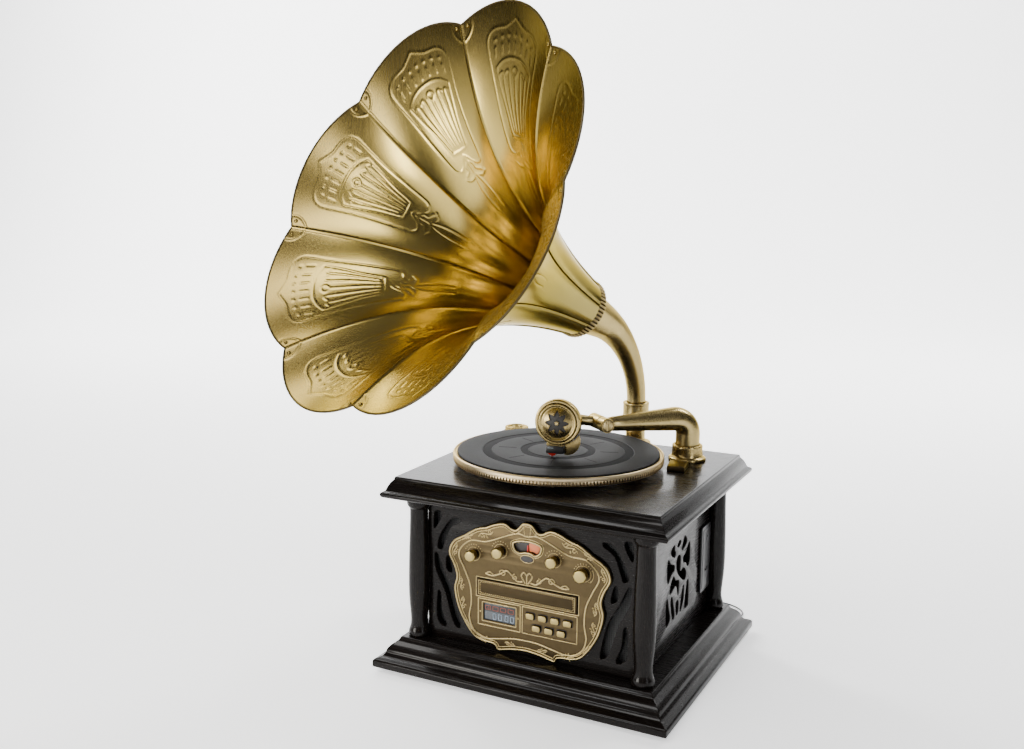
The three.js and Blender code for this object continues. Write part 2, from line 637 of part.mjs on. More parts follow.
function bellPoint(d, angle, inside) {
  const fromMiddle = ((angle % (Math.PI / 4)) + Math.PI / 4) % (Math.PI / 4) - Math.PI / 8;
  const rim = rimRadius(fromMiddle);
  const radius = seamRadius(d) * (1 + fullness(d) * (rim / HORN.notchR - 1));
  const back = d - HORN.lean * (rim - HORN.notchR) * Math.exp(-d / 30);
  const slope = ((HORN.notchR - HORN.neckR) / HORN.flare) * Math.exp(-d / HORN.flare);
  const shift = inside ? HORN.wall / Math.hypot(1, slope) : 0;
  const turn = angle + rad(HORN.firstNotch);
  const r = radius - shift;
  return v3(r * Math.cos(turn), r * Math.sin(turn), -(back - shift * slope));
}

function addHorn() {
  const horn = new THREE.Group();
  horn.position.copy(HORN.mouth);
  horn.quaternion.setFromRotationMatrix(
    new THREE.Matrix4().makeBasis(mouthSide, mouthUp, mouthAxis));
  phonograph.add(horn);

  const perPetal = 6;
  const count = perPetal * HORN.petals;
  const distances = [0, 12, 28, 50, 78, 110, 148, 192, 240, 290, HORN.length];
  const ring = (d, inside) => Array.from({ length: count }, (_, i) =>
    bellPoint(d, (2 * Math.PI * i) / count, inside));
  const rings = [
    ...distances.map((d) => ring(d, false)),
    ...distances.map((d) => ring(d, true)).reverse(),
  ];
  part('horn_bell', skin(rings, true), HORN_BRASS, horn);

  const back = HORN.length + GAP;
  part('horn_ring', turned([
    [37.6, -back - 14], [43.5, -back - 14], [45, -back - 11.5], [45, -back - 2.5],
    [43.5, -back], [37.6, -back],
  ], 24), BRASS, horn);

  // The elbow leaves the ring along the bell's axis, runs straight, then bends down into the
  // post's collar in the upright plane that holds both.
  const start = HORN.mouth.clone().addScaledVector(mouthAxis, -(back + 0.2));
  const level = v3(-mouthAxis.x, -mouthAxis.y, 0).normalize();
  const tilt = rad(HORN.elevation);
  const run = v3(POST.x, POST.y, 0).sub(start).dot(level);
  const drop = start.z - POST.collarTop;
  const bend = (drop - run * Math.tan(tilt)) /
    (Math.cos(tilt) - (1 - Math.sin(tilt)) * Math.tan(tilt));
  const straight = (run - bend * (1 - Math.sin(tilt))) / Math.cos(tilt);
  const total = straight + bend * (Math.PI / 2 - tilt);
  const radiusAt = (s) => 14.2 + 23 * (1 - Math.min(s / total, 1)) ** 2;
  const stations = [];
  const place = (h, z, angle, s) => stations.push({
    centre: start.clone().addScaledVector(level, h).setZ(z),
    along: level.clone().multiplyScalar(Math.cos(angle)).setZ(-Math.sin(angle)),
    radius: radiusAt(s),
    side: v3(0, 0, 1).cross(level),
  });
  for (const s of [0, straight / 2]) {
    place(s * Math.cos(tilt), start.z - s * Math.sin(tilt), tilt, s);
  }
  const corner = [straight * Math.cos(tilt), start.z - straight * Math.sin(tilt)];
  for (let i = 0; i <= 6; i++) {
    const angle = tilt + ((Math.PI / 2 - tilt) * i) / 6;
    place(
      corner[0] + bend * (Math.sin(angle) - Math.sin(tilt)),
      corner[1] - bend * (Math.cos(tilt) - Math.cos(angle)),
      angle, straight + bend * (angle - tilt),
    );
  }
  place(run, 330.3, Math.PI / 2, total);
  part('horn_elbow', pipe(stations, 1.8, 14), HORN_BRASS);

  part('horn_post', turned([
    [11, DECK + GAP], [24, DECK + GAP], [24, 286], [22, 288], [POST.r, 288.5],
    [POST.r, POST.collarBottom], [19.7, POST.collarBottom + 0.5], [19.7, POST.collarTop - 1.5],
    [18.7, POST.collarTop], [14.6, POST.collarTop], [14.6, 330], [11, 330],
  ], 20), BRASS).position.set(POST.x, POST.y, 0);
}

// ---------------------------------------------------------------- wire aerial
const AERIAL = { x: 70, z: 66, diameter: 2.5, coilX: 115.5, coilY: 243.4 };
// Over the plinth's rear edge, along the floor behind the cabinet and back to the coil.
const AERIAL_ROUTE = [
  [70, 146, 66], [70, 153, 66], [70, 160, 65.3], [70, 168, 62.5], [70, 173.5, 56.5], [70.1, 178.5, 50],
  [70.2, 185, 42.5], [70.4, 192, 34], [70.6, 199, 26.5], [70.8, 205.5, 19], [71, 209, 10.5],
  [71.6, 213, 4], [72.6, 219, 1.6], [74.5, 230, 1.55], [79, 246, 1.55], [88, 263, 1.55],
  [102, 278, 1.55], [122, 289, 1.55], [145, 292, 1.55], [165, 286, 1.55], [180, 273, 1.55],
  [186, 257, 1.55], [180, 243, 1.55], [165, 233.5, 1.55], [148, 229, 1.55], [132.6, 227.6, 1.55],
];

function addAerial() {
  const gland = turned([
    [1.9, 0], [3.3, 0], [3.3, 10.5 + GAP], [5.5, 10.5 + GAP], [5.5, 13.5], [3.4, 19], [1.9, 19],
  ], 12).rotateX(-Math.PI / 2);
  part('aerial_gland', gland, PLASTIC).position.set(AERIAL.x, 137, AERIAL.z);

  const r = AERIAL.diameter / 2;
  const wire = new THREE.ExtrudeGeometry(
    new THREE.Shape(circle(0, 0, r, 8).map(([x, y]) => v2(x, y))),
    {
      steps: 44,
      bevelEnabled: false,
      extrudePath: new THREE.CatmullRomCurve3(AERIAL_ROUTE.map((p) => v3(...p))),
    },
  );
  part('aerial_wire', welded(wire), WIRE);

  const [middle, wide, high] = [14.5, 13.8, 8.6];
  part('aerial_coil', turned([
    [middle - wide / 2, 0.3], [middle + wide / 2, 0.3], [middle + wide / 2, high],
    [middle - wide / 2, high],
  ], 20), WIRE).position.set(AERIAL.coilX, AERIAL.coilY, 0);
}

addCabinet();
addPanels();
addFront();
addTurntable();
addTonearm();
addHorn();
addAerial();

// The origin: under the middle of the box round everything but the aerial's wire and coil.
phonograph.updateMatrixWorld(true);
const bounds = new THREE.Box3();
phonograph.traverse((object) => {
  if (object.isMesh && !object.name.startsWith('aerial_')) bounds.expandByObject(object, true);
});
const middle = bounds.getCenter(v3());
phonograph.position.set(-middle.x, -middle.y, 0);

export default phonograph;
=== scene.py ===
"""Looks of the horn phonograph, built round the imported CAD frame. Blender 4.5, metres."""

import json
import math

import bmesh
import bpy
import numpy as np
from mathutils import Matrix, Vector

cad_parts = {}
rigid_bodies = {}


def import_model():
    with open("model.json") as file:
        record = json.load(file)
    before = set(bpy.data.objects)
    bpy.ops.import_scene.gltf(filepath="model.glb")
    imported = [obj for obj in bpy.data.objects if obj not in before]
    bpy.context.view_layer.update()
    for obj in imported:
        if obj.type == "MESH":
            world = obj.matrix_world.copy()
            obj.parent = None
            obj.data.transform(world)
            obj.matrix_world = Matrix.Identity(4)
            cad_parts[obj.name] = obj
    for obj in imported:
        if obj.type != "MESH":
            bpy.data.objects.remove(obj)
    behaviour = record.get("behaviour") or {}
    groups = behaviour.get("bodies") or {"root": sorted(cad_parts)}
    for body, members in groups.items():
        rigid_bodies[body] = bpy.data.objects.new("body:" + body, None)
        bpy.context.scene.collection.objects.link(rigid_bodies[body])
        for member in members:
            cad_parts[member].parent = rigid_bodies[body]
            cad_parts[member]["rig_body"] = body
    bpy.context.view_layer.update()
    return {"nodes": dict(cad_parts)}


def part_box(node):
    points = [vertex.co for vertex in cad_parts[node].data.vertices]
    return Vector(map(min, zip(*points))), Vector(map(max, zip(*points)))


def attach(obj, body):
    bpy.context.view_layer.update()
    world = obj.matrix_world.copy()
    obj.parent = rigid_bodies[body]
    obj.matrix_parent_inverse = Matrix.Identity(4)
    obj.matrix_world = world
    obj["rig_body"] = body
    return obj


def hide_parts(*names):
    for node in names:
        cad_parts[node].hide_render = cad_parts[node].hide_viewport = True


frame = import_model()

# ------------------------------------------------------------------ places
MM = 0.001
_low, _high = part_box("base_plinth")
CABINET = Vector(((_low.x + _high.x) / 2, (_low.y + _high.y) / 2, 0))


def at(x, y, z):
    """A point given in millimetres from the cabinet's centre on the floor."""
    return CABINET + Vector((x, y, z)) * MM


def middle(node):
    low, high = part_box(node)
    return (low + high) / 2


# ------------------------------------------------------------------ camera
def make_camera():
    data = bpy.data.cameras.new("camera")
    data.sensor_width = 36
    data.lens = 40.288
    data.shift_x = 0.0519
    data.shift_y = -0.0072
    data.clip_end = 30
    camera = bpy.data.objects.new("camera", data)
    camera.location = at(627.6, -1479.5, 699.5)
    yaw, pitch, roll = math.radians(28.909), math.radians(9.763), math.radians(-0.087)
    camera.rotation_euler = (math.pi / 2 - pitch, roll, yaw)
    bpy.context.scene.collection.objects.link(camera)
    bpy.context.scene.camera = camera


make_camera()


# ------------------------------------------------------------------ shader helpers
class Nodes:
    """A short way to write a node tree."""

    def __init__(self, name):
        self.material = bpy.data.materials.new(name)
        self.material.use_nodes = True
        self.tree = self.material.node_tree
        self.shader = self.tree.nodes["Principled BSDF"]

    def set(self, **values):
        for key, value in values.items():
            self.shader.inputs[key.replace("_", " ")].default_value = value

    def add(self, kind, inputs=None, **settings):
        node = self.tree.nodes.new("ShaderNode" + kind)
        for key, value in settings.items():
            setattr(node, key, value)
        for key, value in (inputs or {}).items():
            if isinstance(value, bpy.types.NodeSocket):
                self.tree.links.new(value, node.inputs[key])
            else:
                node.inputs[key].default_value = value
        return node

    def link(self, source, socket):
        self.tree.links.new(source, self.shader.inputs[socket])

    def place(self, scale=(1, 1, 1)):
        coords = self.add("TexCoord")
        return self.add("Mapping", {"Vector": coords.outputs["Object"], "Scale": scale}).outputs[0]

    def noise(self, vector, scale, detail=3.0, rough=0.5):
        inputs = {"Vector": vector, "Scale": scale, "Detail": detail, "Roughness": rough}
        return self.add("TexNoise", inputs).outputs["Fac"]

    def ramp(self, factor, stops):
        node = self.add("ValToRGB", {"Fac": factor})
        ramp = node.color_ramp
        while len(ramp.elements) < len(stops):
            ramp.elements.new(0.5)
        for element, (where, colour) in zip(ramp.elements, stops):
            element.position = where
            element.color = colour if len(colour) == 4 else (*colour, 1)
        return node.outputs["Color"]

    def grey(self, factor, low, high):
        """A number that runs from low to high as factor runs from 0 to 1."""
        inputs = {"Value": factor, "To Min": low, "To Max": high}
        return self.add("MapRange", inputs).outputs[0]

    def mix(self, factor, a, b, blend="MIX"):
        node = self.add("Mix", data_type="RGBA", blend_type=blend)
        for socket, value in zip((node.inputs[0], node.inputs[6], node.inputs[7]), (factor, a, b)):
            if isinstance(value, bpy.types.NodeSocket):
                self.tree.links.new(value, socket)
            else:
                socket.default_value = value if isinstance(value, float) else (*value, 1)
        return node.outputs[2]

    def bump(self, height, strength, distance, onto=None):
        inputs = {"Height": height, "Strength": strength, "Distance": distance}
        if onto is not None:
            inputs["Normal"] = onto
        return self.add("Bump", inputs).outputs[0]

    def cavity(self, distance, samples=6):
        """An ambient-occlusion mask for painted shade: 1 on open surfaces and 0 in creases."""
        return self.add("AmbientOcclusion", {"Distance": distance}, samples=samples).outputs["AO"]


EDGE_TINT = (0.80, 0.68, 0.42, 1)     # aged metal stays warm where it is seen at a glance


def metal(name, colour, dark, rough=0.32, stretch=(1, 1, 1), mottle=60.0, grain=1500.0,
          cavity=0.004, bump=0.03):
    """A worn metal: mottled colour and fine brushed or cast grain, with painted shade that darkens its
    creases.
    """
    n = Nodes(name)
    n.set(Metallic=1.0, Specular_Tint=EDGE_TINT)
    place = n.place(stretch)
    patches = n.noise(n.place(), mottle, 4.0, 0.6)
    fine = n.noise(place, grain, 2.0, 0.6)
    base = n.mix(n.grey(patches, 0.0, 0.35), colour, dark)
    base = n.mix(n.grey(fine, 0.0, 0.22), base, dark)
    # Painted shade: an ambient-occlusion mask lays the dark colour into creases.
    painted_crease_shade = n.ramp(n.cavity(cavity), [(0.25, (0, 0, 0)), (0.85, (1, 1, 1))])
    n.link(n.mix(painted_crease_shade, dark, base), "Base Color")
    roughness = n.add("Math", {0: n.grey(patches, rough - 0.06, rough + 0.08),
                               1: n.grey(fine, -0.05, 0.07)}, operation="ADD").outputs[0]
    n.link(roughness, "Roughness")
    n.link(n.bump(fine, bump, 0.0004), "Normal")
    return n.material


def lacquered(name, grain_along):
    """Ebonised wood: almost black, fine long grain under a satin lacquer."""
    n = Nodes(name)
    stretch = tuple(4.0 if axis == grain_along else 90.0 for axis in "XYZ")
    grain = n.noise(n.place(stretch), 9.0, 6.0, 0.65)
    pores = n.noise(n.place(stretch), 34.0, 3.0, 0.6)
    base = n.ramp(grain, [(0.3, (0.0016, 0.0013, 0.0012)), (0.7, (0.0065, 0.0045, 0.0036))])
    n.link(base, "Base Color")
    n.link(n.grey(grain, 0.2, 0.34), "Roughness")
    n.set(Specular_IOR_Level=0.07, Coat_Weight=0.13, Coat_Roughness=0.07)
    n.link(n.bump(pores, 0.06, 0.0004, n.bump(grain, 0.04, 0.0006)), "Normal")
    return n.material


def plain(name, colour, rough, metallic=0.0, scale=700.0, bump=0.15, spread=0.25, shine=0.5):
    """Moulded rubber or plastic with a fine texture."""
    n = Nodes(name)
    n.set(Metallic=metallic, Specular_IOR_Level=shine)
    fine = n.noise(n.place(), scale, 3.0, 0.6)
    broad = n.noise(n.place(), 25.0, 2.0, 0.5)
    dark = tuple(c * (1 - spread) for c in colour)
    light = tuple(min(1.0, c * (1 + spread)) for c in colour)
    n.link(n.mix(broad, dark, light), "Base Color")
    n.link(n.grey(fine, rough - 0.05, rough + 0.08), "Roughness")
    n.link(n.bump(fine, bump, 0.0002), "Normal")
    return n.material


HORN_AXIS = Vector((
    math.cos(math.radians(247.75)) * math.cos(math.radians(26.18)),
    math.sin(math.radians(247.75)) * math.cos(math.radians(26.18)),
    math.sin(math.radians(26.18)),
))
HORN_MOUTH = at(-133.7, -230.3, 653.4)


def horn_metal(name, outside=False):
    """Antique brass from matte olive at the rim to warm orange gold in the throat, partly its own tone
    and partly painted light along the horn's axis.
    """
    n = Nodes(name)
    n.set(Metallic=1.0, Specular_Tint=EDGE_TINT)
    coords = n.add("TexCoord").outputs["Object"]
    from_mouth = n.add("VectorMath", {0: coords, 1: HORN_MOUTH}, operation="SUBTRACT").outputs[0]
    along = n.add("VectorMath", {0: from_mouth, 1: HORN_AXIS}, operation="DOT_PRODUCT").outputs["Value"]
    depth = n.add("MapRange", {"Value": along, "From Min": 0.0, "From Max": -0.34}).outputs[0]
    patches = n.noise(n.place(), 9.0, 4.0, 0.55)
    wander = n.add("Math", {0: n.grey(patches, -0.05, 0.05), 1: depth}, operation="ADD").outputs[0]
    # Inside, the ramp's bright band part-way in is a painted highlight, and its darker, more orange
    # throat is painted shade with painted warm interreflection; outside it runs from darker at the rim
    # to lighter towards the neck.
    if outside:
        stops = [(0.0, (0.13, 0.105, 0.035)), (0.4, (0.19, 0.16, 0.052)), (1.0, (0.25, 0.205, 0.07))]
    else:
        stops = [
            (0.0, (0.15, 0.108, 0.032)), (0.07, (0.20, 0.147, 0.043)), (0.2, (0.33, 0.245, 0.066)),
            (0.42, (0.50, 0.375, 0.105)), (0.7, (0.38, 0.285, 0.10)), (1.0, (0.24, 0.17, 0.07)),
        ]
    base = n.ramp(wander, stops)
    # Brushing runs from the rim to the neck, so the grain is stretched along the horn's axis.
    turn = HORN_AXIS.to_track_quat("Z", "Y").inverted().to_euler()
    mapping = n.add("Mapping", {"Vector": from_mouth, "Rotation": turn, "Scale": (1, 1, 0.04)})
    fine = n.noise(mapping.outputs[0], 900.0, 3.0, 0.6)
    base = n.mix(n.grey(fine, 0.0, 0.3), base, (0.16, 0.12, 0.04))
    # Painted shade: an ambient-occlusion mask darkens the pressing's creases to a dark brown.
    painted_crease_shade = n.ramp(n.cavity(0.003), [(0.35, (0, 0, 0)), (0.8, (1, 1, 1))])
    n.link(n.mix(painted_crease_shade, (0.13, 0.09, 0.04), base), "Base Color")
    rough = n.grey(wander, 0.26, 0.14)
    n.link(n.add("Math", {0: rough, 1: n.grey(fine, -0.05, 0.07)}, operation="ADD").outputs[0],
           "Roughness")
    n.link(n.bump(fine, 0.035, 0.0005), "Normal")
    return n.material


def perforated(name):
    """Black cloth with a close pattern of holes."""
    n = Nodes(name)
    cells = n.add("TexVoronoi", {"Vector": n.place(), "Scale": 330.0, "Randomness": 0.0})
    holes = n.ramp(cells.outputs["Distance"], [(0.25, (0.002, 0.002, 0.002)), (0.4, (0.03, 0.03, 0.03))])
    n.link(holes, "Base Color")
    n.set(Roughness=0.75)
    n.link(n.bump(cells.outputs["Distance"], 0.5, 0.001), "Normal")
    return n.material


def window(name):
    """The display: a grey-blue liquid crystal under glass."""
    n = Nodes(name)
    broad = n.noise(n.place(), 60.0, 2.0, 0.5)
    n.link(n.mix(broad, (0.018, 0.026, 0.034), (0.03, 0.04, 0.05)), "Base Color")
    n.set(Roughness=0.12, Coat_Weight=0.6, Coat_Roughness=0.05)
    return n.material


MATERIALS = {
    "ebony_x": lacquered("ebony_x", "X"),
    "ebony_y": lacquered("ebony_y", "Y"),
    "ebony_z": lacquered("ebony_z", "Z"),
    "brass": metal("brass", (0.42, 0.32, 0.135), (0.08, 0.056, 0.02), 0.26, grain=900.0),
    "horn_inside": horn_metal("horn_inside"),
    "horn_outside": horn_metal("horn_outside", outside=True),
    "neck": metal("neck_brass", (0.44, 0.345, 0.15), (0.13, 0.093, 0.036), 0.26, mottle=18.0),
    # Near-black brass: on the horn's rim bead its darkness is painted shade for the rolled rim's dark
    # edge; the neck collar uses it too.
    "rim_dark": metal("rim_brass", (0.07, 0.055, 0.03), (0.02, 0.016, 0.01), 0.38),
    "bronze": metal("bronze", (0.092, 0.068, 0.034), (0.014, 0.010, 0.006), 0.36, mottle=140.0,
                    grain=2200.0, cavity=0.003, bump=0.25),
    "bronze_light": metal("bronze_light", (0.50, 0.385, 0.18), (0.06, 0.045, 0.02), 0.27,
                          mottle=200.0, cavity=0.002),
    "bronze_dark": metal("bronze_dark", (0.05, 0.037, 0.02), (0.012, 0.009, 0.005), 0.42,
                         mottle=140.0, grain=2200.0, bump=0.25),
    "button_brass": metal("button_brass", (0.40, 0.31, 0.125), (0.13, 0.095, 0.035), 0.3),
    "steel": metal("steel", (0.62, 0.62, 0.62), (0.25, 0.25, 0.25), 0.25),
    "rim_gold": metal("rim_gold", (0.74, 0.59, 0.36), (0.22, 0.16, 0.08), 0.34),
    "mat": plain("mat_rubber", (0.012, 0.012, 0.0115), 0.6, bump=0.2, shine=0.08),
    "mat_dark": plain("mat_dark", (0.002, 0.002, 0.002), 0.75, bump=0.2, shine=0.1),
    "rubber": plain("rubber", (0.012, 0.012, 0.012), 0.7),
    "plastic": plain("black_plastic", (0.012, 0.012, 0.013), 0.35),
    "red": plain("red_plastic", (0.55, 0.02, 0.012), 0.3),
    "orange": plain("dial_orange", (0.62, 0.15, 0.04), 0.4),
    "flag": plain("display_red", (0.42, 0.06, 0.03), 0.4),
    "digit": plain("pale_digit", (0.24, 0.32, 0.40), 0.4),
    "ink": plain("dark_ink", (0.015, 0.012, 0.01), 0.5),
    "board": plain("circuit_board", (0.02, 0.14, 0.06), 0.45),
    "wire": plain("wire_sheath", (0.012, 0.012, 0.013), 0.4),
    "grille": perforated("grille_cloth"),
    "screen": window("display_glass"),
}


# ------------------------------------------------------------------ mesh helpers
def build(name, points, faces, material, body, slot, replaces=(), sharp=40):
    """One piece from points in the row frame, in metres, and faces."""
    mesh = bpy.data.meshes.new(name)
    mesh.from_pydata([tuple(p) for p in points], [], faces)
    bm = bmesh.new()
    bm.from_mesh(mesh)
    bmesh.ops.recalc_face_normals(bm, faces=bm.faces)
    bm.to_mesh(mesh)
    bm.free()
    return finish_piece(name, mesh, material, body, replaces, sharp)


def finish_piece(name, mesh, material, body, replaces=(), sharp=40):
    mesh.materials.clear()
    mesh.materials.append(MATERIALS[material])
    mesh.polygons.foreach_set("use_smooth", [True] * len(mesh.polygons))
    mesh.set_sharp_from_angle(angle=math.radians(sharp))
    obj = bpy.data.objects.new(name, mesh)
    bpy.context.scene.collection.objects.link(obj)
    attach(obj, body)
    if replaces:
        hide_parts(*replaces)
    return obj


def lattice(rows, columns, wrap_columns=True, wrap_rows=False):
    """Faces between rows of points."""
    faces = []
    for i in range(rows if wrap_rows else rows - 1):
        for j in range(columns if wrap_columns else columns - 1):
            k, n = (j + 1) % columns, (i + 1) % rows
            faces.append((i * columns + j, i * columns + k, n * columns + k, n * columns + j))
    return faces


def smoothed(profile, rounding=0.35, steps=3):
    """The profile with each sharp corner swapped for a small arc, sizes in millimetres."""
    points = [Vector(p) for p in profile]
    out = [points[0]]
    for before, here, after in zip(points, points[1:], points[2:]):
        a, b = before - here, after - here
        if a.length < 1e-6 or b.length < 1e-6:
            continue
        if a.angle(b) > math.radians(160):
            out.append(here)
            continue
        reach = min(rounding, a.length * 0.4, b.length * 0.4)
        start, end = here + a.normalized() * reach, here + b.normalized() * reach
        for i in range(steps + 1):
            t = i / steps
            out.append(start * (1 - t) ** 2 + here * 2 * t * (1 - t) + end * t ** 2)
    out.append(points[-1])
    return [(p.x, p.y) for p in out]


def turned_mesh(profile, centre, matrix=Matrix.Identity(3), segments=96, wave=None):
    """Points and faces of a solid turned about matrix's Z through centre. Profile in mm."""
    closed = profile[0][0] > 1e-6
    points, rows = [], []
    for r, z in profile:
        count = segments if r > 1e-6 else 1
        rows.append((len(points), count))
        for j in range(count):
            t = 2 * math.pi * j / segments
            radius = r + (wave(r, z, t) if wave and count > 1 else 0)
            local = Vector((radius * math.cos(t), radius * math.sin(t), z)) * MM
            points.append(centre + matrix @ local)
    pairs = list(zip(rows, rows[1:]))
    if closed:
        pairs.append((rows[-1], rows[0]))
    faces = []
    for (a, na), (b, nb) in pairs:
        for j in range(segments):
            k = (j + 1) % segments
            face = [a + (j if na > 1 else 0)]
            if na > 1:
                face.append(a + k)
            if nb > 1:
                face.append(b + k)
            face.append(b + (j if nb > 1 else 0))
            if len(set(face)) > 2:
                faces.append(tuple(face))
    return points, faces


def turned(name, profile, centre, material, body, slot, replaces=(), matrix=Matrix.Identity(3),
           segments=96, rounding=0.35, wave=None, sharp=40):
    points, faces = turned_mesh(smoothed(profile, rounding), centre, matrix, segments, wave)
    return build(name, points, faces, material, body, slot, replaces, sharp)


def ring(centre, side, up, radius, count):
    return [centre + side * radius * math.cos(2 * math.pi * j / count)
            + up * radius * math.sin(2 * math.pi * j / count) for j in range(count)]


def tube_mesh(path, radius, sides=8, closed=False):
    """Points and faces of a round bead along a path. radius is a number or one for each point."""
    points, faces = [], []
    count = len(path)
    previous = None
    for i, here in enumerate(path):
        after = path[(i + 1) % count] if closed or i < count - 1 else here
        before = path[i - 1] if closed or i > 0 else here
        along = (after - before).normalized()
        if previous is None:
            side = along.orthogonal().normalized()
        else:
            side = (previous - along * previous.dot(along)).normalized()
        previous = side
        up = along.cross(side)
        r = radius[i] if isinstance(radius, (list, tuple)) else radius
        points += ring(here, side, up, r, sides)
    faces += lattice(count, sides, True, closed)
    if not closed:
        faces.append(tuple(range(sides)))
        faces.append(tuple((count - 1) * sides + j for j in reversed(range(sides))))
    return points, faces


def spline(points, count, closed=False):
    """count points along a smooth curve through a few, centripetal enough for scrollwork."""
    pts = [Vector(p) for p in points]
    n = len(pts)
    spans = n if closed else n - 1
    dense = []
    for i in range(spans):
        p0 = pts[(i - 1) % n] if closed or i > 0 else pts[0] * 2 - pts[1]
        p1, p2 = pts[i], pts[(i + 1) % n]
        p3 = pts[(i + 2) % n] if closed or i < n - 2 else pts[-1] * 2 - pts[-2]
        for k in range(16):
            t = k / 16
            dense.append(0.5 * (2 * p1 + (p2 - p0) * t + (2 * p0 - 5 * p1 + 4 * p2 - p3) * t * t
                                + (3 * p1 - p0 - 3 * p2 + p3) * t ** 3))
    if not closed:
        dense.append(pts[-1])
    else:
        dense.append(dense[0])
    lengths = [0.0]
    for a, b in zip(dense, dense[1:]):
        lengths.append(lengths[-1] + (b - a).length)
    out = []
    k = 0
    total = count if closed else count - 1
    for i in range(count):
        want = lengths[-1] * i / total
        while k < len(lengths) - 2 and lengths[k + 1] < want:
            k += 1
        span = lengths[k + 1] - lengths[k]
        t = (want - lengths[k]) / span if span > 0 else 0
        out.append(dense[k].lerp(dense[k + 1], t))
    return out


def joined(meshes):
    """Points and faces of several meshes as one."""
    points, faces = [], []
    for more_points, more_faces in meshes:
        base = len(points)
        points += more_points
        faces += [tuple(base + j for j in face) for face in more_faces]
    return points, faces


def block(corners):
    """Points and faces of a box from its four lower and four upper corners, in the same order."""
    return corners, lattice(2, 4) + [(0, 1, 2, 3), (7, 6, 5, 4)]


def beads(name, lines, material, body, slot, sharp=60):
    """One piece of several raised lines: each is (path, radius in metres, closed)."""
    points, faces = joined(tube_mesh(path, radius, 8, closed) for path, radius, closed in lines)
    return build(name, points, faces, material, body, slot, sharp=sharp)


def softened(node, material, width=0.5, name=None, segments=2):
    """The CAD node's own shape with its edges eased by width millimetres."""
    source = frame["nodes"][node]
    mesh = source.data.copy()
    bm = bmesh.new()
    bm.from_mesh(mesh)
    bmesh.ops.remove_doubles(bm, verts=bm.verts, dist=2e-6)
    bmesh.ops.dissolve_limit(bm, angle_limit=math.radians(1), verts=bm.verts, edges=bm.edges)
    edges = [e for e in bm.edges if len(e.link_faces) == 2
             and e.calc_face_angle(0) > math.radians(28)]
    bmesh.ops.bevel(bm, geom=edges, offset=width * MM, offset_type="OFFSET", segments=segments,
                    profile=0.5, affect="EDGES", clamp_overlap=True)
    bm.to_mesh(mesh)
    bm.free()
    body = source["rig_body"]
    return finish_piece(name or f"{node}_shape", mesh, material, body, (node,), 30)


def shape_mesh(outline, holes, depth, ease):
    """A flat outline with holes, in mm, made solid from 0 to depth along Z with eased edges."""
    curve = bpy.data.curves.new("outline", "CURVE")
    curve.dimensions = "2D"
    curve.fill_mode = "BOTH"
    curve.extrude = (depth / 2 - ease) * MM
    curve.bevel_depth = ease * MM
    curve.bevel_resolution = 2
    curve.offset = -ease * MM
    for loop in [outline, *holes]:
        line = curve.splines.new("POLY")
        line.points.add(len(loop) - 1)
        for point, (x, y) in zip(line.points, loop):
            point.co = (x * MM, y * MM, 0, 1)
        line.use_cyclic_u = True
    holder = bpy.data.objects.new("outline", curve)
    bpy.context.scene.collection.objects.link(holder)
    bpy.context.view_layer.update()
    graph = bpy.context.evaluated_depsgraph_get()
    mesh = bpy.data.meshes.new_from_object(holder.evaluated_get(graph))
    bpy.data.objects.remove(holder)
    bpy.data.curves.remove(curve)
    mesh.transform(Matrix.Translation((0, 0, depth / 2 * MM)))
    bm = bmesh.new()
    bm.from_mesh(mesh)
    bmesh.ops.remove_doubles(bm, verts=bm.verts, dist=1e-7)
    bm.to_mesh(mesh)
    bm.free()
    return mesh


# An outline's x and y become X and Z with the depth along -Y, or Y and Z with the depth along +X.
FRONT_FACING = Matrix(((1, 0, 0), (0, 0, -1), (0, 1, 0)))
SIDE_FACING = Matrix(((0, 0, 1), (1, 0, 0), (0, 1, 0)))
# A turned piece's own Z points to the cabinet's front or rear.
TOWARDS_FRONT = Matrix.Rotation(math.pi / 2, 3, "X")
TOWARDS_REAR = Matrix.Rotation(-math.pi / 2, 3, "X")


def cut_out(name, outline, holes, depth, corner, facing, material, body="cabinet",
            replaces=(), ease=0.5):
    """A flat piece whose back face starts at corner, a point in the row frame."""
    mesh = shape_mesh(outline, holes, depth, ease)
    mesh.transform(Matrix.Translation(corner) @ facing.to_4x4())
    return finish_piece(name, mesh, material, body, replaces, 32)


def flat(points, count, closed=True):
    """A smooth line through (x, z) points, as (x, z) pairs."""
    return [(p.x, p.y) for p in spline([(x, z, 0) for x, z in points], count, closed)]


def mirrored(points):
    return [(-x, z) for x, z in points]


def circle(x, z, r, count=32):
    return [(x + r * math.cos(2 * math.pi * i / count), z + r * math.sin(2 * math.pi * i / count))
            for i in range(count)]


def rectangle(x0, x1, z0, z1, corner=0.0, steps=4):
    """A rectangle with rounded corners."""
    if corner <= 0:
        return [(x0, z0), (x1, z0), (x1, z1), (x0, z1)]
    out = []
    places = ((x1 - corner, z0 + corner, -90), (x1 - corner, z1 - corner, 0),
              (x0 + corner, z1 - corner, 90), (x0 + corner, z0 + corner, 180))
    for x, z, start in places:
        for i in range(steps + 1):
            t = math.radians(start + 90 * i / steps)
            out.append((x + corner * math.cos(t), z + corner * math.sin(t)))
    return out


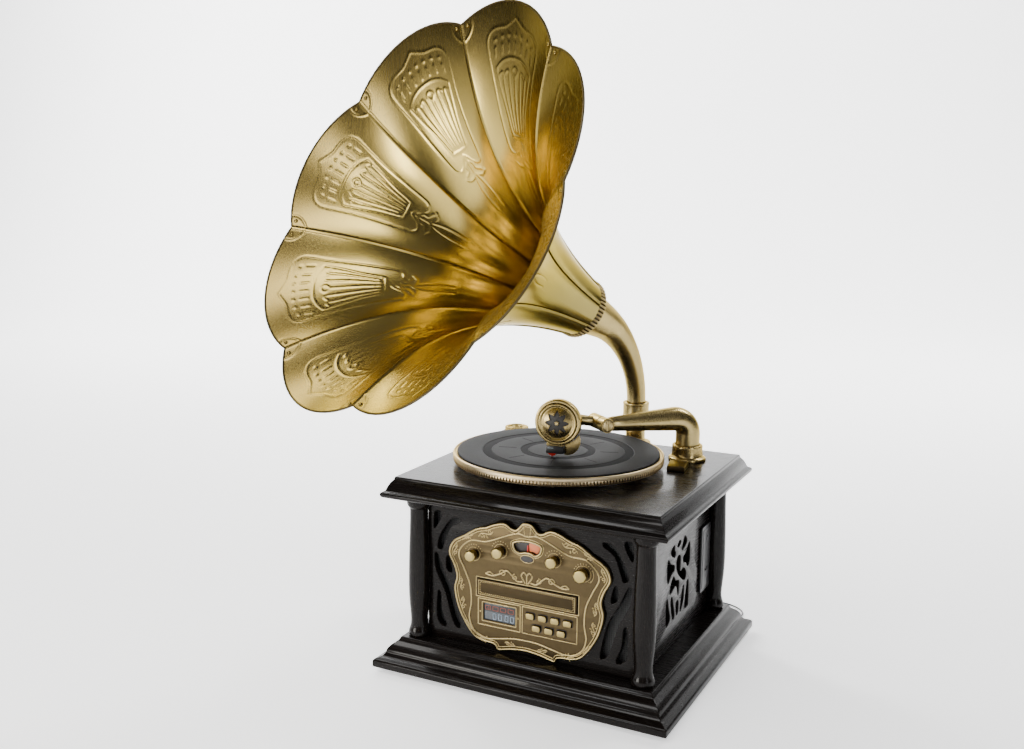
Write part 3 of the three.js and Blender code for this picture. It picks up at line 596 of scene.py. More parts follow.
# ------------------------------------------------------------------ aerial wire
AERIAL_ROUTE = [
    (70, 146, 66), (70, 153, 66), (70, 160, 65.3), (70, 168, 62.5), (70, 173.5, 56.5),
    (70.1, 178.5, 50), (70.2, 185, 42.5), (70.4, 192, 34), (70.6, 199, 26.5), (70.8, 205.5, 19),
    (71, 209, 10.5), (71.6, 213, 4), (72.6, 219, 1.6), (74.5, 230, 1.55), (79, 246, 1.55),
    (88, 263, 1.55), (102, 278, 1.55), (122, 289, 1.55), (145, 292, 1.55), (165, 286, 1.55),
    (180, 273, 1.55), (186, 257, 1.55), (180, 243, 1.55), (165, 233.5, 1.55), (148, 229, 1.55),
    (132.6, 227.6, 1.55),
]
WIRE_DIAMETER = 0.0025
COIL = {"x": 115.5, "y": 243.4, "inner": 9.1, "outer": 19.9, "layers": 3, "turns": 4.25,
        "rise": 2.62, "start": -62.0}


def aerial_cord():
    points = spline([at(*p) for p in AERIAL_ROUTE], 190)
    steps = 24
    angle = COIL["start"]
    for layer in range(COIL["layers"]):
        total = int(COIL["turns"] * steps)
        for i in range(total + 1):
            if layer and i == 0:
                continue
            t = i / total
            inward = t if layer % 2 == 0 else 1 - t
            radius = COIL["outer"] + (COIL["inner"] - COIL["outer"]) * inward
            if layer == 0 and i < 4:
                radius += 1.2 * (1 - i / 4) ** 2
            lift = min(1.0, i / (steps * 0.3)) if layer else 1.0
            height = 1.55 + COIL["rise"] * (layer - 1 + lift if layer else 0)
            turn = math.radians(angle - 360 * i / steps)
            points.append(at(COIL["x"] + radius * math.cos(turn),
                             COIL["y"] + radius * math.sin(turn), height))
        angle -= 360 * total / steps
    curve = bpy.data.curves.new("aerial_wire_sheath", "CURVE")
    curve.dimensions = "3D"
    curve.bevel_depth = WIRE_DIAMETER / 2
    curve.bevel_resolution = 3
    curve.use_fill_caps = True
    line = curve.splines.new("POLY")
    line.points.add(len(points) - 1)
    for point, place in zip(line.points, points):
        point.co = (*place, 1)
    curve.materials.append(MATERIALS["wire"])
    wire = bpy.data.objects.new("aerial_wire_sheath", curve)
    bpy.context.scene.collection.objects.link(wire)
    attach(wire, "cabinet")
    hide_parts("aerial_wire", "aerial_coil")


aerial_cord()


# ------------------------------------------------------------------ cabinet
HALF_X, HALF_Y = 216.0, 203.0
PLINTH_PROFILE = [(2.5, 6.3), (0.6, 7.6), (0, 9), (0, 15), (0.6, 16.8), (2, 18.5), (6.5, 20.6), (10, 22),
                  (12, 24), (13.6, 26.4), (14.6, 30), (16, 33), (19.5, 37), (24.5, 40.5), (27, 42.3),
                  (28.4, 44.6), (29.4, 47), (30.6, 47.9), (34, 48)]
SLAB_PROFILE = [(13, 253), (10.6, 254), (9.3, 256), (9, 258), (9.6, 260), (11.4, 261.3),
                (13.4, 262.2), (15, 263.6), (16, 266), (17.3, 269), (19.5, 273), (22.3, 276.5),
                (23.6, 278), (24.1, 280), (24.6, 281.6), (26, 282)]


def moulding(name, profile, node):
    """A square frame moulding with mitred corners, from (inset, height) points."""
    corner, steps = 0.9, 3
    path = [(p.x, p.y) for p in spline([(a, b, 0) for a, b in profile], 64)]
    path = [path[0]] + path + [path[-1]]
    points = []
    for inset, z in path:
        for x, y in rectangle(-HALF_X + inset, HALF_X - inset, -HALF_Y + inset, HALF_Y - inset,
                              corner, steps):
            points.append(at(x, y, z))
    columns = 4 * (steps + 1)
    faces = lattice(len(path), columns)
    faces.append(tuple(range(columns)))
    last = (len(path) - 1) * columns
    faces.append(tuple(last + j for j in reversed(range(columns))))
    return build(name, points, faces, "ebony_x", "cabinet", "ebony", (node,), 34)


COLUMN_PROFILE = [
    (0, 0), (13.4, 0), (14.9, 1), (15.4, 3), (15.4, 6.5), (14.6, 9), (13.4, 12.5), (12.3, 17.5),
    (12.1, 24), (12.4, 30), (13, 37), (14, 48), (14.8, 62), (15.1, 77), (15, 92), (14.4, 122),
    (13.4, 152), (12.9, 172), (12.8, 182), (13.2, 187), (14.9, 188.6), (16.2, 190.6),
    (17, 193.4), (17, 198.6), (16.2, 201.4), (16, 202), (16, 204.3), (0, 204.3),
]
CORNERS = {"front_left": (-1, -1), "front_right": (1, -1), "rear_left": (-1, 1), "rear_right": (1, 1)}

FRONT_FRETS = [
    ([(134.5, 228), (140, 232.5), (146.5, 228), (147, 207), (140.6, 214)], 40),
    ([(106, 226), (120, 222.5), (136, 200), (141.3, 181.5), (134.5, 177), (130, 189),
      (121, 210), (106.5, 220.5)], 64),
    ([(146, 169), (141, 169.5), (129, 143), (114, 115), (105, 74), (107, 66), (117, 77),
      (129, 116), (144, 147)], 72),
    ([(127, 167), (122.5, 169), (118, 152), (119.5, 145.5), (127, 152)], 36),
    ([(141, 113), (136.5, 113.5), (134, 88), (127, 68), (132.5, 65), (142, 77)], 48),
]
SIDE_FRETS = [
    [(26, 195), (35, 187), (31, 181), (16, 176), (14, 180), (20, 190)],
    [(2, 195), (8, 191), (-1, 186), (-8, 189)],
    [(-21, 194), (-18, 186), (-14, 181), (-19, 176), (-31, 182), (-34, 189)],
    [(46, 180), (50, 174), (51, 153), (43, 145), (34, 153), (22, 157), (21, 165), (33, 169)],
    [(-44, 180), (-34, 171), (-18, 164), (-19, 157), (-32, 154), (-45, 146), (-49, 170)],
    [(4, 173), (9, 167), (9, 148), (23, 149), (36, 138), (27, 129), (-6, 152), (-7, 171)],
    [(-20, 149), (-10, 140), (4, 136), (5, 127), (2, 114), (-9, 132), (-34, 127), (-31, 141)],
    [(-43, 124), (-38, 110), (-31, 95), (-33, 88), (-47, 86), (-48, 120)],
    [(-23, 120), (-17, 106), (-11, 90), (-18, 86), (-28, 107), (-29, 119)],
    [(3, 107), (6, 98), (4, 89), (-3, 88), (-5, 105)],
    [(28, 121), (28, 103), (17, 87), (14, 92), (19, 110), (24, 121)],
    [(48, 123), (51, 88), (46, 84), (34, 87), (40, 117)],
]


def cabinet():
    moulding("plinth_moulding", PLINTH_PROFILE, "base_plinth")
    moulding("slab_moulding", SLAB_PROFILE, "top_slab")
    for corner, (sx, sy) in CORNERS.items():
        turned(f"column_{corner}_turning", COLUMN_PROFILE, at(sx * 167, sy * 154, 48.3), "ebony_z",
               "cabinet", "ebony", (f"column_{corner}",), segments=64, sharp=50)
        turned(f"foot_{corner}_pad", [(0, 0), (18.5, 0), (20, 1.5), (20, 6), (0, 6)],
               at(sx * 181, sy * 171, 0), "rubber", "cabinet", "rubber", (f"foot_{corner}",),
               segments=48, rounding=0.8)
    wall = rectangle(-156, 156, 48.3, 252.7)
    frets = []
    for points, count in FRONT_FRETS:
        hole = flat(points, count)
        frets += [hole, mirrored(hole)]
    opening = rectangle(-88, 88, 84, 206)
    cut_out("front_panel_fretwork", wall, [*frets, opening], 12, at(0, -135.5, 0), FRONT_FACING,
            "ebony_x", replaces=("front_panel",), ease=0.9)
    cut_out("rear_panel_board", wall, [circle(70, 66, 3.6)], 12, at(0, 147.5, 0), FRONT_FACING,
            "ebony_x", replaces=("rear_panel",), ease=0.6)
    side_wall = rectangle(-141, 141, 48.3, 252.7)
    side_frets = [flat(points, 48) for points in SIDE_FRETS]
    for name, x in (("right", 148), ("left", -160)):
        cut_out(f"{name}_panel_fretwork", side_wall, side_frets, 12, at(x, 0, 0), SIDE_FACING,
                "ebony_y", replaces=(f"{name}_panel",), ease=0.9)
    softened("grille_liner", "grille", 0.2, "grille_cloth_liner")
    for side in ("left", "right"):
        softened(f"speaker_{side}", "plastic", 0.5)
    # The socket plate on the right side: a bevelled plate with a slot and a lamp hole.
    plate = rectangle(96.5, 137.5, 86, 186, 3.0)
    socket = rectangle(110.2, 124.2, 116, 121.4, 0.6)
    lamp = circle(119, 168, 1.9)
    cut_out("socket_plate", plate, [socket, lamp], 3.6, at(160.3, 0, 0), SIDE_FACING,
            "plastic", replaces=("usb_plate",), ease=1.0)
    inset = rectangle(101, 133, 91, 181, 2.0)
    cut_out("socket_plate_step", inset, [socket, lamp], 0.8, at(163.8, 0, 0), SIDE_FACING,
            "plastic", ease=0.3)
    cut_out("socket_shell", rectangle(110.4, 124, 116.2, 121.2, 0.5),
            [rectangle(111.2, 123.2, 117, 120.4, 0.3)], 2.6, at(160.5, 0, 0), SIDE_FACING, "steel",
            ease=0.1)
    cut_out("socket_tongue", rectangle(111.9, 122.5, 117.6, 119, 0.2), [], 2.2, at(160.5, 0, 0),
            SIDE_FACING, "plastic", ease=0.1)
    turned("aerial_bush", [(1.9, 0), (3.3, 0), (3.3, 10.8), (5.5, 10.8), (5.5, 13.5), (3.4, 19),
                           (1.9, 19)], at(70, 137, 66), "plastic", "cabinet", "plastic",
           ("aerial_gland",), TOWARDS_REAR, 40)


cabinet()


# ------------------------------------------------------------------ faceplate and controls
PLATE_FACE = -153.0
PLATE_HALF = [
    (0, 238), (8, 236), (14, 229), (20, 226), (34, 232.5), (50, 229), (62, 223.5), (77, 219),
    (95, 207.5), (113, 196), (120.3, 178), (112, 160), (108, 145), (111.5, 127), (105, 100),
    (93, 78), (80, 63), (66, 58), (52, 57), (46, 55), (42, 49.5), (20, 54), (0, 56),
]
INNER_HALF = [
    (0, 218.5), (12, 221), (26, 217), (40, 211), (62, 202), (84, 200.5), (99, 189), (103.5, 176),
    (95, 158), (86, 136), (84, 112), (87, 90), (80, 73), (62, 64), (40, 67), (20, 71), (0, 72),
]
KNOBS = {"knob_volume": (-80.5, 181.5, 8.4), "knob_source": (-39.6, 192, 8.4),
         "knob_band": (39.6, 192, 8.4), "knob_tuning": (81, 181, 9.6)}
BUTTON_ROWS = [(6, 108.6, 4), (15.5, 92.8, 3)]
BUTTON_PITCH = 18.2
DIAL_WINDOW = [(-20, 206), (-11, 209.6), (0, 210.8), (11, 209.6), (20, 206), (15, 194.5),
               (8, 196.4), (0, 197), (-8, 196.4), (-15, 194.5)]


def both_halves(half):
    return half + mirrored(half[1:-1])[::-1]


def inset_loop(loop, distance):
    """The closed loop moved inwards by distance. Points in mm."""
    count = len(loop)
    area = sum(loop[i][0] * loop[(i + 1) % count][1] - loop[(i + 1) % count][0] * loop[i][1]
               for i in range(count))
    sign = 1 if area > 0 else -1
    out = []
    for i, (x, z) in enumerate(loop):
        before, after = loop[i - 2], loop[(i + 2) % count]
        tx, tz = after[0] - before[0], after[1] - before[1]
        length = math.hypot(tx, tz)
        out.append((x - sign * tz / length * distance, z + sign * tx / length * distance))
    return out


def on_plate(points, y=PLATE_FACE):
    return [at(x, y, z) for x, z in points]


def line(points, radius, closed=False, count=None, y=PLATE_FACE):
    """A raised line on the faceplate through a few (x, z) points."""
    count = count or max(12, 8 * len(points))
    return on_plate(flat(points, count, closed), y), radius * MM, closed


def straight(points, radius, closed=True, y=PLATE_FACE):
    return on_plate(points, y), radius * MM, closed


def curl(x, z, r, start, sweep, tail=0.35, steps=18):
    """A spiral scroll: from the outside in, as (x, z) points."""
    out = []
    for i in range(steps + 1):
        t = i / steps
        a = math.radians(start + sweep * t)
        k = r * (1 - (1 - tail) * t)
        out.append((x + k * math.cos(a), z + k * math.sin(a)))
    return out


def sprig(x, z, heading, size, flip=1):
    """A leafy scroll for the faceplate's border: a bent stem, two curls and three leaves."""
    lines = []
    c, s = math.cos(math.radians(heading)), math.sin(math.radians(heading))

    def placed(points):
        return [(x + size * (c * a - s * b * flip), z + size * (s * a + c * b * flip))
                for a, b in points]

    stem = placed([(-1.3, 0.1), (-0.7, -0.25), (0, 0), (0.7, 0.25), (1.3, -0.05)])
    lines.append((on_plate([(a, b) for a, b in flat(stem, 20, False)]), 0.95 * MM, False))
    for cx, start in ((-0.75, 200), (0.75, 20)):
        ring_points = placed(curl(cx, 0.12 * (1 if cx < 0 else -1), 0.36, start, 400, 0.3))
        lines.append((on_plate(ring_points), 0.8 * MM, False))
    for a, b, angle in ((0, 0.3, 80), (-0.25, 0.2, 130), (0.2, -0.3, -70)):
        t = math.radians(angle)
        leaf = placed([(a, b), (a + 0.22 * math.cos(t), b + 0.22 * math.sin(t)),
                       (a + 0.42 * math.cos(t), b + 0.42 * math.sin(t))])
        path = on_plate(leaf)
        lines.append((path, [0.7 * MM, 1.3 * MM, 0.4 * MM], False))
    return lines


def button_places():
    return [(x + i * BUTTON_PITCH, z) for x, z, count in BUTTON_ROWS for i in range(count)]


def front():
    outline = flat(both_halves(PLATE_HALF), 240)
    holes = [circle(x, z, 3.6) for x, z, _ in KNOBS.values()]
    holes += [rectangle(x - 6.2, x + 6.2, z - 4.5, z + 4.5, 1.6) for x, z in button_places()]
    holes.append(rectangle(-65, -17, 90, 114, 0.4))
    holes.append(rectangle(-74.5, 74, 124, 149, 0.3))
    window = flat(DIAL_WINDOW, 60)
    holes.append(window)
    cut_out("faceplate_casting", outline, holes, 5.2, at(0, -147.8, 0), FRONT_FACING, "bronze",
            replaces=("faceplate",), ease=0.7)
    bed = flat([(x * 1.2, 201 + (z - 201) * 1.25) for x, z in DIAL_WINDOW], 50)
    cut_out("dial_bed", bed, [], 1.4, at(0, -147.9, 0), FRONT_FACING, "ink", ease=0.1)
    warm = [(2, 208.6), (11, 207.8), (17.6, 205), (13.8, 196.2), (8, 197.6), (2, 198)]
    cut_out("dial_scale", flat(warm, 40), [], 0.6, at(0, -149.3, 0), FRONT_FACING, "orange",
            ease=0.1)
    marks = []
    for i in range(9):
        a = math.radians(118 - 7 * i)
        marks.append(straight([(62 * math.cos(a) * 0.62, 148 + 62 * math.sin(a)),
                               (64.5 * math.cos(a) * 0.62, 148 + 64.5 * math.sin(a))], 0.25, False,
                              y=-149.6))
    beads("dial_marks", marks, "bronze_light", "cabinet", "bronze")
    softened("dial_pointer", "red", 0.1)

    # Two raised lines follow the edge, one runs inside them, and sprigs fill the corners.
    border = [
        (on_plate(inset_loop(outline, 2.0)), 1.6 * MM, True),
        (on_plate(inset_loop(outline, 5.6)), 0.8 * MM, True),
        line(both_halves(INNER_HALF), 1.35, True, 220),
    ]
    beads("faceplate_border", border, "bronze_light", "cabinet", "bronze")
    scrolls = []
    for side in (-1, 1):
        scrolls += sprig(side * 62, 213, -22 * side, 9.5, side)
        scrolls += sprig(side * 88, 206, -35 * side, 6.5, side)
        scrolls += sprig(side * 109, 184, -80 * side, 7.5, side)
        scrolls += sprig(side * 99.5, 136, 84 * side, 7.5, side)
        scrolls += sprig(side * 97, 108, 92 * side, 7.5, side)
        scrolls += sprig(side * 62, 61.5, 0, 8.0, side)
        scrolls += sprig(side * 24, 62.5, 8 * side, 6.0, side)
        scrolls += sprig(side * 88, 78, 52 * side, 6.0, side)
    beads("faceplate_sprigs", scrolls, "bronze_light", "cabinet", "bronze")

    # The crest: a fan of three cells under an arch.
    crest = [line([(-13, 222), (-11.5, 230), (0, 234.5), (11.5, 230), (13, 222)], 0.9),
             line([(-13, 222), (0, 219.5), (13, 222)], 0.8)]
    for a, b in ((-4, -4.6), (4, 4.6)):
        crest.append(straight([(a, 220.5), (b * 1.2, 233)], 0.7, False))
    beads("faceplate_crest", crest, "bronze_light", "cabinet", "bronze")

    # Dial frame and the oval badge under it.
    frames = [line(window_frame(1.2), 1.7, True, 60), line(window_frame(4.2), 0.7, True, 60)]
    oval = [(9.8 * math.cos(2 * math.pi * i / 36), 187.4 + 5.2 * math.sin(2 * math.pi * i / 36))
            for i in range(36)]
    frames.append(straight(oval, 0.7))
    beads("dial_frame", frames, "bronze_light", "cabinet", "bronze")
    cut_out("badge", [(x * 0.9, 187.4 + (z - 187.4) * 0.88) for x, z in oval], [], 0.9,
            at(0, -152.9, 0), FRONT_FACING, "ink", ease=0.3)

    ornament = []
    for side in (-1, 1):
        ornament.append(line([(side * 62, 157), (side * 52, 155.5), (side * 40, 160), (side * 30, 166),
                              (side * 22, 161), (side * 14, 154), (side * 6, 155)], 1.4, False, 40))
        ornament.append((on_plate(curl(side * 36, 161.5, 5, 90 - 90 * side, 420 * side, 0.25)),
                         1.0 * MM, False))
        ornament.append((on_plate(curl(side * 17.5, 159, 4.2, 90, -400 * side, 0.25)), 1.1 * MM, False))
        ornament.append(line([(side * 2, 153), (side * 8, 163), (side * 4, 168), (0, 164)], 1.2))
        ornament.append(line([(side * 62, 157), (side * 56, 160), (side * 50, 157)], 1.0))
    ornament.append(line([(0, 152), (0, 158), (0, 164)], 1.1))
    beads("faceplate_ornament", ornament, "bronze_light", "cabinet", "bronze")

    # Rows of small dots round the knobs.
    dots = []
    dot_profile = [(0, -0.3), (0.75, -0.3), (0.6, 0.4), (0, 0.6)]
    for x, z, _ in KNOBS.values():
        for i in range(9):
            a = math.radians(24 + 16.5 * i)
            dot = at(x + 13.6 * math.cos(a), PLATE_FACE + 0.1, z + 13.6 * math.sin(a))
            dots.append(turned_mesh(dot_profile, dot, TOWARDS_FRONT, 10))
    build("knob_dots", *joined(dots), "bronze_light", "cabinet", "bronze")
    collars = []
    for x, z, r in KNOBS.values():
        collars.append(straight(circle(x, z, r + 1.2, 40), 0.5))
    arrow = [(x, z) for x, z in curl(81, 181, 14.6, 30, -75, 1.0)]
    collars.append((on_plate(arrow), 0.5 * MM, False))
    tip = arrow[-1]
    collars.append(straight([(tip[0] - 3, tip[1] + 0.5), tip, (tip[0] + 1, tip[1] + 3.2)], 0.5, False))
    beads("knob_rings", collars, "bronze_light", "cabinet", "bronze")

    for name in KNOBS:
        softened(name, "button_brass", 0.45)
    for i in range(1, 8):
        softened(f"button_{i}", "button_brass", 0.7, segments=3)
    outlines = [straight(rectangle(x - 6.7, x + 6.7, z - 5, z + 5, 1.8), 0.42)
                for x, z in button_places()]
    beads("button_outlines", outlines, "ink", "cabinet", "bronze")

    panels = [
        straight(rectangle(-73, -9, 82.5, 120, 0.8), 1.0),
        straight(rectangle(-67, -15.2, 88.2, 115.6, 0.8), 0.8),
        straight(rectangle(-6, 74, 82.5, 120, 0.8), 0.9),
        straight(rectangle(-76.4, 75.8, 122.4, 150.4, 0.6), 0.8),
    ]
    beads("panel_frames", panels, "bronze_light", "cabinet", "bronze")
    for k, x in enumerate((-70, -12.2)):
        turned(f"frame_screw_{k + 1}", [(0, -0.3), (1.2, -0.3), (1.1, 0.5), (0, 0.7)],
               at(x, PLATE_FACE, 101), "bronze_light", "cabinet", "bronze",
               matrix=TOWARDS_FRONT, segments=20, rounding=0.2)
    display()
    drawer()
    softened("circuit_board", "board", 0.2)


def window_frame(grow):
    return inset_loop(flat(DIAL_WINDOW, 60), -grow)[::5]


# The six lit bars of a nought, each from corner to corner in half heights.
NOUGHT = [((0, 2), (1, 2)), ((1, 1), (1, 2)), ((1, 0), (1, 1)), ((0, 0), (1, 0)), ((0, 0), (0, 1)),
          ((0, 1), (0, 2))]


def display():
    softened("display_screen", "screen", 0.2)
    face = -151.6
    digits = []
    for k in range(4):
        x0 = -51 + 8.2 * k + (2 if k > 1 else 0)
        for (ax, az), (bx, bz) in NOUGHT:
            digits.append(straight([(x0 + ax * 4.6, 92.6 + az * 4.0), (x0 + bx * 4.6, 92.6 + bz * 4.0)],
                                   0.42, False, face))
    beads("display_digits", digits, "digit", "cabinet", "screen")
    boxes = []
    for k in range(4):
        x0 = -63 + 11.6 * k
        boxes.append(straight(rectangle(x0, x0 + 8, 105, 110.6, 0.4), 0.28, True, face))
    boxes.append(straight([(-60, 107), (-57.5, 109.4), (-57.5, 104.9)], 0.35, True, face))
    beads("display_flags", boxes, "flag", "cabinet", "screen")
    cut_out("display_strip", rectangle(-64, -18, 103, 112.4, 0.4), [], 0.25, at(0, -151.45, 0),
            FRONT_FACING, "ink", ease=0.05)


def drawer():
    """The disc drawer: its bar, a rope border on it, and the tray behind."""
    softened("cd_tray", "bronze_dark", 0.6)
    face = -155.4
    rope = [straight(rectangle(-71.5, 71, 126.6, 146.4, 0.5), 0.5, True, face)]
    strands = []
    edge = rectangle(-69.2, 68.7, 128.6, 144.4)
    step = 3.1
    for (x0, z0), (x1, z1) in zip(edge, edge[1:] + edge[:1]):
        count = int(math.hypot(x1 - x0, z1 - z0) / step)
        for i in range(count):
            t = (i + 0.5) / count
            x, z = x0 + (x1 - x0) * t, z0 + (z1 - z0) * t
            path = [at(x - 0.9, face, z - 0.9), at(x, face - 0.35, z), at(x + 0.9, face, z + 0.9)]
            strands.append(tube_mesh(path, [0.4 * MM, 0.75 * MM, 0.4 * MM], 6))
    build("drawer_rope", *joined(strands), "bronze_light", "disc_tray", "bronze")
    beads("drawer_edge", rope, "bronze_light", "disc_tray", "bronze")


front()


# ------------------------------------------------------------------ turntable
PLATTER = at(-21.8, -7.6, 0)
PLATTER_R = 150.5
MAT_R = 144.6
MAT_TOP = 303.7


def strobe_ribs(r, z, t):
    """Fine ribs round the lower band of the platter's rim."""
    if r < PLATTER_R - 0.6 or not 291.9 < z < 296.5:
        return 0.0
    return -2.4 if math.cos(200 * t) < 0 else 0.2


def turntable():
    top = MAT_TOP - 3.1
    r = PLATTER_R
    turned("platter_casting", [
        (3.95, 285.7), (15, 285.7), (15, 296.5), (58, 296.5), (58, 290.5), (62, 290.5), (62, 296.5),
        (r - 7, 296.5), (r - 7, 290.2), (r - 1, 290.2), (r - 0.2, 290.8), (r, 291.8), (r, 292.0),
        (r, 296.3), (r, 296.6), (r - 0.1, 297), (r + 0.2, 297.6), (r + 0.2, 300.6),
        (r - 0.4, 301.6), (r - 1.2, 302.1), (r - 2.4, 302), (r - 3, top), (3.95, top),
    ], PLATTER, "rim_gold", "turntable", "rim", ("platter",), segments=1200, rounding=0.15,
        wave=strobe_ribs, sharp=50)
    turned("turntable_mat", [
        (4.2, top + 0.3), (MAT_R, top + 0.3), (MAT_R, MAT_TOP - 0.5), (MAT_R - 0.7, MAT_TOP),
        (109, MAT_TOP), (108, MAT_TOP - 0.9), (95.4, MAT_TOP - 0.9), (94.4, MAT_TOP),
        (54.5, MAT_TOP), (53.5, MAT_TOP - 0.9), (43, MAT_TOP - 0.9), (42, MAT_TOP), (4.2, MAT_TOP),
    ], PLATTER, "mat", "turntable", "mat", ("slipmat",), segments=160, rounding=0.4)
    for name, low, high in (("outer", 95.6, 107.8), ("inner", 43.2, 53.3)):
        turned(f"mat_ring_{name}", [(low, MAT_TOP - 0.85), (high, MAT_TOP - 0.85),
                                    (high, MAT_TOP - 0.55), (low, MAT_TOP - 0.55)],
               PLATTER, "mat_dark", "turntable", "mat", segments=160, rounding=0.1)
    rays = []
    for i in range(8):
        a = math.radians(17 + 45 * i)
        ray = [PLATTER + Vector((k * math.cos(a), k * math.sin(a), MAT_TOP - 0.25)) * MM
               for k in (60, 72, 86)]
        rays.append((ray, 0.5 * MM, False))
    beads("mat_rays", rays, "mat_dark", "turntable", "mat")
    turned("spindle_pin", [(0, 238), (3.6, 238), (3.6, 310), (3.3, 311.4), (2.4, 313), (1.2, 313.7),
                           (0, 313.8)], PLATTER, "steel", "turntable", "steel", ("spindle",),
           segments=40)
    turned("bearing_shell", [(0, 232), (11, 232), (11, 282.3), (20, 282.3), (20, 284.5), (19, 285.3),
                             (3.95, 285.3), (3.95, 237.7), (0, 237.7)], PLATTER, "steel", "cabinet",
           "steel", ("bearing_housing",), segments=64)
    motor_at = middle("motor")
    motor_at.z = 0
    turned("motor_can", [(0, 222), (20, 222), (20, 250), (17, 252.6), (2, 252.6), (2, 239.7),
                         (0, 239.7)], motor_at, "steel", "cabinet", "steel", ("motor",), segments=64)
    turned("pulley_turning", [(0, 240), (1.6, 240), (1.6, 289.5), (7, 289.5), (6, 290.5), (6, 294.5),
                              (7, 295.5), (0, 295.5)], motor_at, "steel", "pulley", "steel",
           ("motor_pulley",), segments=48)
    softened("drive_belt", "rubber", 0.1)
    record_adapter()
    softened("lift_lever", "bronze", 0.7, segments=3)


def record_adapter():
    """The centre piece for large-hole records, with three curved slots in its top."""
    place = middle("adapter_45")
    place.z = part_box("adapter_45")[0].z
    turned("adapter_disc", [(3.9, 0), (18.4, 0), (19, 0.6), (19, 6.8), (18.3, 7.8), (17, 8.2),
                            (14.5, 8.2), (13.6, 7.2), (6.8, 7.2), (6.2, 8.2), (4.4, 8.2),
                            (3.9, 7.8)],
           place, "brass", "adapter", "brass", ("adapter_45",), segments=96)
    arms = []
    for i in range(3):
        path = []
        for k in range(9):
            t = k / 8
            a = math.radians(120 * i + 95 * t)
            path.append(place + Vector(((6.4 + 8.4 * t) * math.cos(a), (6.4 + 8.4 * t) * math.sin(a),
                                        7.5)) * MM)
        arms.append((path, 1.1 * MM, False))
    beads("adapter_arms", arms, "brass", "adapter", "brass")


turntable()


# ------------------------------------------------------------------ tonearm and head
ARM_AT = at(131.3, 112.3, 0)
ARM_HEIGHT = 344.5
ARM_TURN = Matrix.Rotation(math.radians(-131), 3, "Z")
HEAD_X = 137.0
HEAD_TURN = ARM_TURN @ Matrix.Rotation(math.radians(-39), 3, "Z")
HEAD_AT = ARM_AT + ARM_TURN @ Vector((212.2, 7.2, 0)) * MM + Vector((0, 0, 0.355))


def along_arm(x, y, z):
    return ARM_AT + ARM_TURN @ Vector((x, y, 0)) * MM + Vector((0, 0, z)) * MM


def tonearm():
    turned("tonearm_foot", [
        (8, 282.3), (27, 282.3), (27, 284.8), (26.2, 286.4), (24.6, 287.6), (22.8, 288.3),
        (22.2, 290), (21.8, 300), (22, 303), (21.6, 304.4), (20.5, 305), (17.9, 305), (17.9, 290),
        (8, 290),
    ], ARM_AT, "brass", "cabinet", "brass", ("tonearm_base",), segments=96)

    bend, sides, hinge_clear = 24.0, 56, 10.9
    stations = [(0.0, 290.3, 90.0, 17.3), (0.0, 300.0, 90.0, 17.3),
                (0.0, ARM_HEIGHT - bend, 90.0, 17.4)]
    for i in range(1, 13):
        t = math.pi / 2 * i / 12
        stations.append((bend * (1 - math.cos(t)), ARM_HEIGHT - bend + bend * math.sin(t),
                         90 - math.degrees(t), 17.4))
    for i in range(1, 9):
        t = i / 8
        stations.append((bend + (HEAD_X - bend) * t, ARM_HEIGHT, 0.0, 17.4 - 7.8 * t))
    rings = []
    for wall in (0.0, 2.0):
        for x, z, slope, radius in stations:
            up = Vector((-math.sin(math.radians(slope)), 0, math.cos(math.radians(slope))))
            loop = []
            for j in range(sides):
                t = 2 * math.pi * j / sides
                outward = Vector((0, 1, 0)) * math.cos(t) + up * math.sin(t)
                p = Vector((x, 0, z)) + outward * (radius - wall)
                if x == HEAD_X:
                    p.x = HEAD_X - math.sqrt(hinge_clear ** 2 - (p.z - ARM_HEIGHT) ** 2)
                loop.append(along_arm(p.x, p.y, p.z))
            rings.append(loop)
    half = len(stations)
    order = rings[:half] + rings[half:][::-1]
    build("tonearm_pipe", [p for loop in order for p in loop], lattice(len(order), sides, True, True),
          "neck", "tonearm", "brass", ("tonearm_tube",), 45)

    hinge = along_arm(HEAD_X, 0, ARM_HEIGHT)
    side = ARM_TURN @ TOWARDS_REAR
    turned("pivot_barrel", [(3.4, -5), (9.9, -5), (10.5, -4.4), (10.5, 11.2), (9.8, 12), (8.8, 12),
                            (8.3, 11.5), (8.3, 9), (3.4, 9)], hinge, "brass", "tonearm", "brass",
           ("pivot_block",), side, 64)
    softened("pivot_screw", "bronze_light", 0.3)
    barrel = turned_mesh(smoothed([
        (3.3, -34), (9.6, -34), (10.5, -33), (10.5, -6.2), (9.7, -5.3), (3.3, -5.3),
    ]), hinge, side, 64)
    neck = spline([along_arm(*p) for p in ((140, -21, 344.5), (158, -25, 347.5), (180, -25, 352.5),
                                          (196, -14, 354.8), (205.0, -2.3, 355))], 28)
    points, faces = joined([barrel, tube_mesh(neck, 7.5 * MM, 32)])
    build("gooseneck_casting", points, faces, "neck", "head", "brass", ("gooseneck",))
    soundbox()


def head_point(x, y, z):
    return HEAD_AT + HEAD_TURN @ Vector((x, y, z)) * MM


